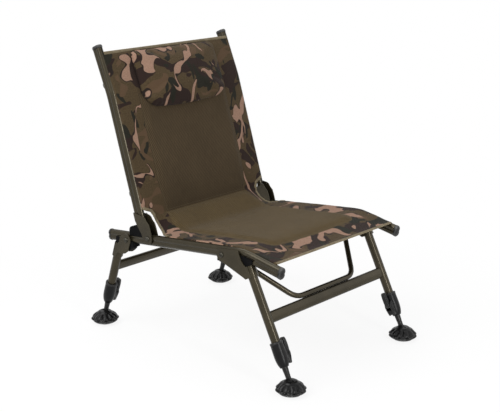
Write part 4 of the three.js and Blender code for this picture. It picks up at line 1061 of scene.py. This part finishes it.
def sleeve_mesh():
    """The turned sleeve with its slot, two ears, the web between them and the screw's heads"""
    sleeve = turned_ring("sleeve", SLEEVE_SECTION)
    slot = box("slot", (SLOT_START, -SLOT_HALF, SLEEVE_SHOULDER), (SLOT_END, SLOT_HALF, SLOT_TOP))
    low, high = EAR_SPAN
    web_half, screw_low, screw_high = low + WEB_OVERLAP, high - SCREW_OVERLAP, high + SCREW_HEIGHT
    screw = [(CLAMP_PIVOT[0] + x, CLAMP_PIVOT[1] + z) for x, z in circle(SCREW_RADIUS, 24)]
    added = [rounded_plate("near_ear", EAR_OUTLINE, -high, -low, 0.8),
             rounded_plate("far_ear", EAR_OUTLINE, low, high, 0.8),
             rounded_plate("web", WEB_OUTLINE, -web_half, web_half, 0.4),
             rounded_plate("near_screw", screw, -screw_high, -screw_low, 0.7),
             rounded_plate("far_screw", screw, screw_low, screw_high, 0.7)]
    combine(sleeve, ("DIFFERENCE", slot), *(("UNION", piece) for piece in added))
    return taken_mesh(sleeve)


def lever_mesh():
    """The lever with its cam, which spans 180 to 300 degrees about the pivot"""
    cam = [(CLAMP_PIVOT[0] + x, CLAMP_PIVOT[1] + z) for x, z in circle(CAM_RADIUS, 24)[12:21]]
    return taken_mesh(rounded_plate("lever", cam + LEVER_TOP, -LEVER_HALF, LEVER_HALF, 1.5))


def taken_mesh(piece):
    mesh = piece.data
    bpy.data.objects.remove(piece)
    mesh.set_sharp_from_angle(angle=MOULDING_SHARP)
    return mesh


def add_moulding(name, shape, move, body, node):
    """A moved copy of a shape, which rides on a body and stands in for a node"""
    mesh = shape.copy()
    mesh.transform(move)
    piece = link_new(name, mesh)
    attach(piece, body)
    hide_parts(node)


def leg_clamps():
    sleeve, lever = sleeve_mesh(), lever_mesh()
    for end in ("front", "rear"):
        for side in ("left", "right"):
            joint = joint_named(f"{end}_{side}_lever_swing")
            for kind, shape, body in (("clamp_sleeve", sleeve, joint["parent"]),
                                      ("cam_lever", lever, joint["child"])):
                add_moulding(f"{end}_{side}_{kind}", shape, leg_frame(joint), body, f"{end}_{kind}_{side}")
    bpy.data.meshes.remove(sleeve)
    bpy.data.meshes.remove(lever)


# Mud feet

def foot_radius(share, height, angle):
    """The wall's radius: ten lobes round the rim, and ten facets of the dome between them"""
    dips = 0.0
    for (start, full, fades, end), depth, wave in ((FOOT_RIM_BAND, FOOT_RIM_DIP, cos),
                                                   (FOOT_DOME_BAND, FOOT_DOME_DIP, sin)):
        band = smooth(start, full, height) * (1 - smooth(fades, end, height))
        dips += band * (depth * (1 - abs(wave(FOOT_LOBES / 2 * angle))) ** FOOT_DIP_POWER)
    return FOOT_RADIUS * share * (1 - dips)


def foot_mesh(toward):
    """A knobbly mud foot round its pin, with the slot that the leg leans through towards one side"""
    sides = 12 * FOOT_LOBES
    points = []
    for share, height in FOOT_OUTLINE[1:-1]:
        for k, (x, y) in enumerate(circle(1, sides)):
            radius = foot_radius(share, height, 2 * pi * k / sides)
            points.append((radius * x, radius * y, height / 1000 - FOOT_PIN_RISE))
    rings = len(FOOT_OUTLINE) - 2
    faces = ring_faces(rings, sides)
    for pole, ring in ((FOOT_OUTLINE[0], 0), (FOOT_OUTLINE[-1], rings - 1)):
        points.append((0, 0, pole[1] / 1000 - FOOT_PIN_RISE))
        for k in range(sides):
            faces.append((ring * sides + k, ring * sides + (k + 1) % sides, len(points) - 1))
    foot = closed_piece("foot", points, faces, PLASTIC)
    near, far = sorted(reach * toward for reach in POCKET_REACH)
    pocket = box("pocket", (-POCKET_HALF, near, POCKET_LOW), (POCKET_HALF, far, POCKET_HIGH))
    pin = bar_along_x("pin", FOOT_PIN_RADIUS, FOOT_PIN_HALF_LENGTH)
    combine(foot, ("DIFFERENCE", pocket), ("UNION", pin))
    return taken_mesh(foot)


def box(name, low, high):
    """A closed block between two corners"""
    points = [(x, y, z) for x in (low[0], high[0]) for y in (low[1], high[1]) for z in (low[2], high[2])]
    faces = [(0, 1, 3, 2), (4, 6, 7, 5), (0, 4, 5, 1), (2, 3, 7, 6), (0, 2, 6, 4), (1, 5, 7, 3)]
    return add_piece(name, points, faces, PLASTIC)


def bar_along_x(name, radius, half_length, sides=20):
    points = [(x, y, z) for x in (-half_length, half_length) for y, z in circle(radius, sides)]
    faces = ring_faces(2, sides) + [tuple(range(sides))[::-1], tuple(range(sides, 2 * sides))]
    return closed_piece(name, points, faces, PLASTIC)


def mud_feet():
    for end, toward in (("front", 1), ("rear", -1)):
        shape = foot_mesh(toward)
        for side in ("left", "right"):
            joint = joint_named(f"{end}_{side}_foot_tilt")
            move = Matrix.Translation(joint["pos_m"])
            add_moulding(f"{end}_{side}_foot_shell", shape, move, joint["child"], f"{end}_mud_foot_{side}")
        bpy.data.meshes.remove(shape)


# Studio

def bearing(turn, rise):
    """The direction of this turn and rise"""
    return Vector((sin(turn) * cos(rise), -cos(turn) * cos(rise), sin(rise)))


def camera():
    data = bpy.data.cameras.new("camera")
    data.sensor_width = SENSOR_WIDTH
    data.lens = FOCAL_PIXELS * SENSOR_WIDTH / PICTURE_WIDTH
    data.clip_end = 100
    back = bearing(CAMERA_TURN, CAMERA_DROP)
    right = (-back).cross(Vector((0, 0, 1))).normalized()
    up = right.cross(-back)
    tilted_right = right * cos(CAMERA_ROLL) + up * sin(CAMERA_ROLL)
    tilted_up = up * cos(CAMERA_ROLL) - right * sin(CAMERA_ROLL)
    turn = Matrix((tilted_right, tilted_up, back)).transposed().to_4x4()
    made = link_new("camera", data)
    made.matrix_world = Matrix.Translation(CAMERA_PLACE) @ turn
    scene.camera = made


def lamp(name, turn, rise, distance, width, height, power):
    """A soft lamp that faces the chair, its turn and rise in degrees"""
    data = bpy.data.lights.new(name, "AREA")
    data.shape = "RECTANGLE"
    data.size, data.size_y, data.energy = width, height, power
    away = bearing(radians(turn), radians(rise))
    made = link_new(name, data)
    made.location = LAMP_AIM + away * distance
    made.rotation_euler = away.to_track_quat("Z", "Y").to_euler()


def world():
    """Even light on the object, and plain white for the camera, gloss and glass"""
    made = bpy.data.worlds.new("studio")
    made.use_nodes = True
    scene.world = made
    nodes, links = made.node_tree.nodes, made.node_tree.links
    ambient, white = nodes["Background"], nodes.new("ShaderNodeBackground")
    ambient.inputs["Strength"].default_value = AMBIENT
    for light in (ambient, white):
        light.inputs["Color"].default_value = (1, 1, 1, 1)
    share = nodes.new("ShaderNodeMixShader")
    for i, output in enumerate((seen_directly(nodes, links), ambient.outputs[0], white.outputs[0])):
        links.new(output, share.inputs[i])
    links.new(share.outputs[0], nodes["World Output"].inputs["Surface"])


def seen_directly(nodes, links):
    """1 for a ray from the camera, off gloss or through glass"""
    path = nodes.new("ShaderNodeLightPath")
    seen = path.outputs["Is Camera Ray"]
    for label in ("Is Glossy Ray", "Is Transmission Ray"):
        either = nodes.new("ShaderNodeMath")
        either.operation = "MAXIMUM"
        links.new(seen, either.inputs[0])
        links.new(path.outputs[label], either.inputs[1])
        seen = either.outputs[0]
    return seen


def floor():
    """A pale floor that keeps a faint shadow near the chair and turns plain white further out"""
    points = [(x, y, FLOOR_HEIGHT) for x, y in circle(FLOOR_REACH, 64)]
    look = Finish("pale_floor", (0.9, 0.9, 0.9, 1), 0.9)
    length = look.node("ShaderNodeVectorMath", operation="LENGTH")
    look.plug(length.inputs[0], look.place())
    share = look.span(length.outputs["Value"], 0.45, 1.1, 0.88, 1.0)
    nodes, links = look.tree.nodes, look.tree.links
    glow = look.node("ShaderNodeEmission", {"Strength": 1.0})
    share = look.math("MULTIPLY", share, seen_directly(nodes, links))
    mixed = look.node("ShaderNodeMixShader", {0: share, 1: look.shader.outputs[0], 2: glow.outputs[0]})
    links.new(mixed.outputs[0], nodes["Material Output"].inputs["Surface"])
    piece = add_piece("floor", points, [tuple(range(len(points)))], look.material)


camera()
world()
floor()
lamp("key_lamp", -100, 42, 3.2, 2.4, 2.4, 76)
lamp("fill_lamp", 40, 30, 3.4, 2.6, 2.6, 12)
lamp("strip_lamp", -14, 14, 3.2, 0.35, 2.4, 46)
lamp("top_lamp", 160, 68, 3.0, 2.2, 2.2, 26)
dress_frame()
spreader_bar()
cover_piece, cover_area = cover()
seat_panel()
back_panel()
headrest()
hem("front_hem", seat_spot, SEAT, "seat_frame")
hem("top_hem", back_spot, BACK, "backrest")
notch_binding("left_notch_binding", 1)
notch_binding("right_notch_binding", -1)
leg_clamps()
mud_feet()

scene.view_settings.view_transform = "Standard"
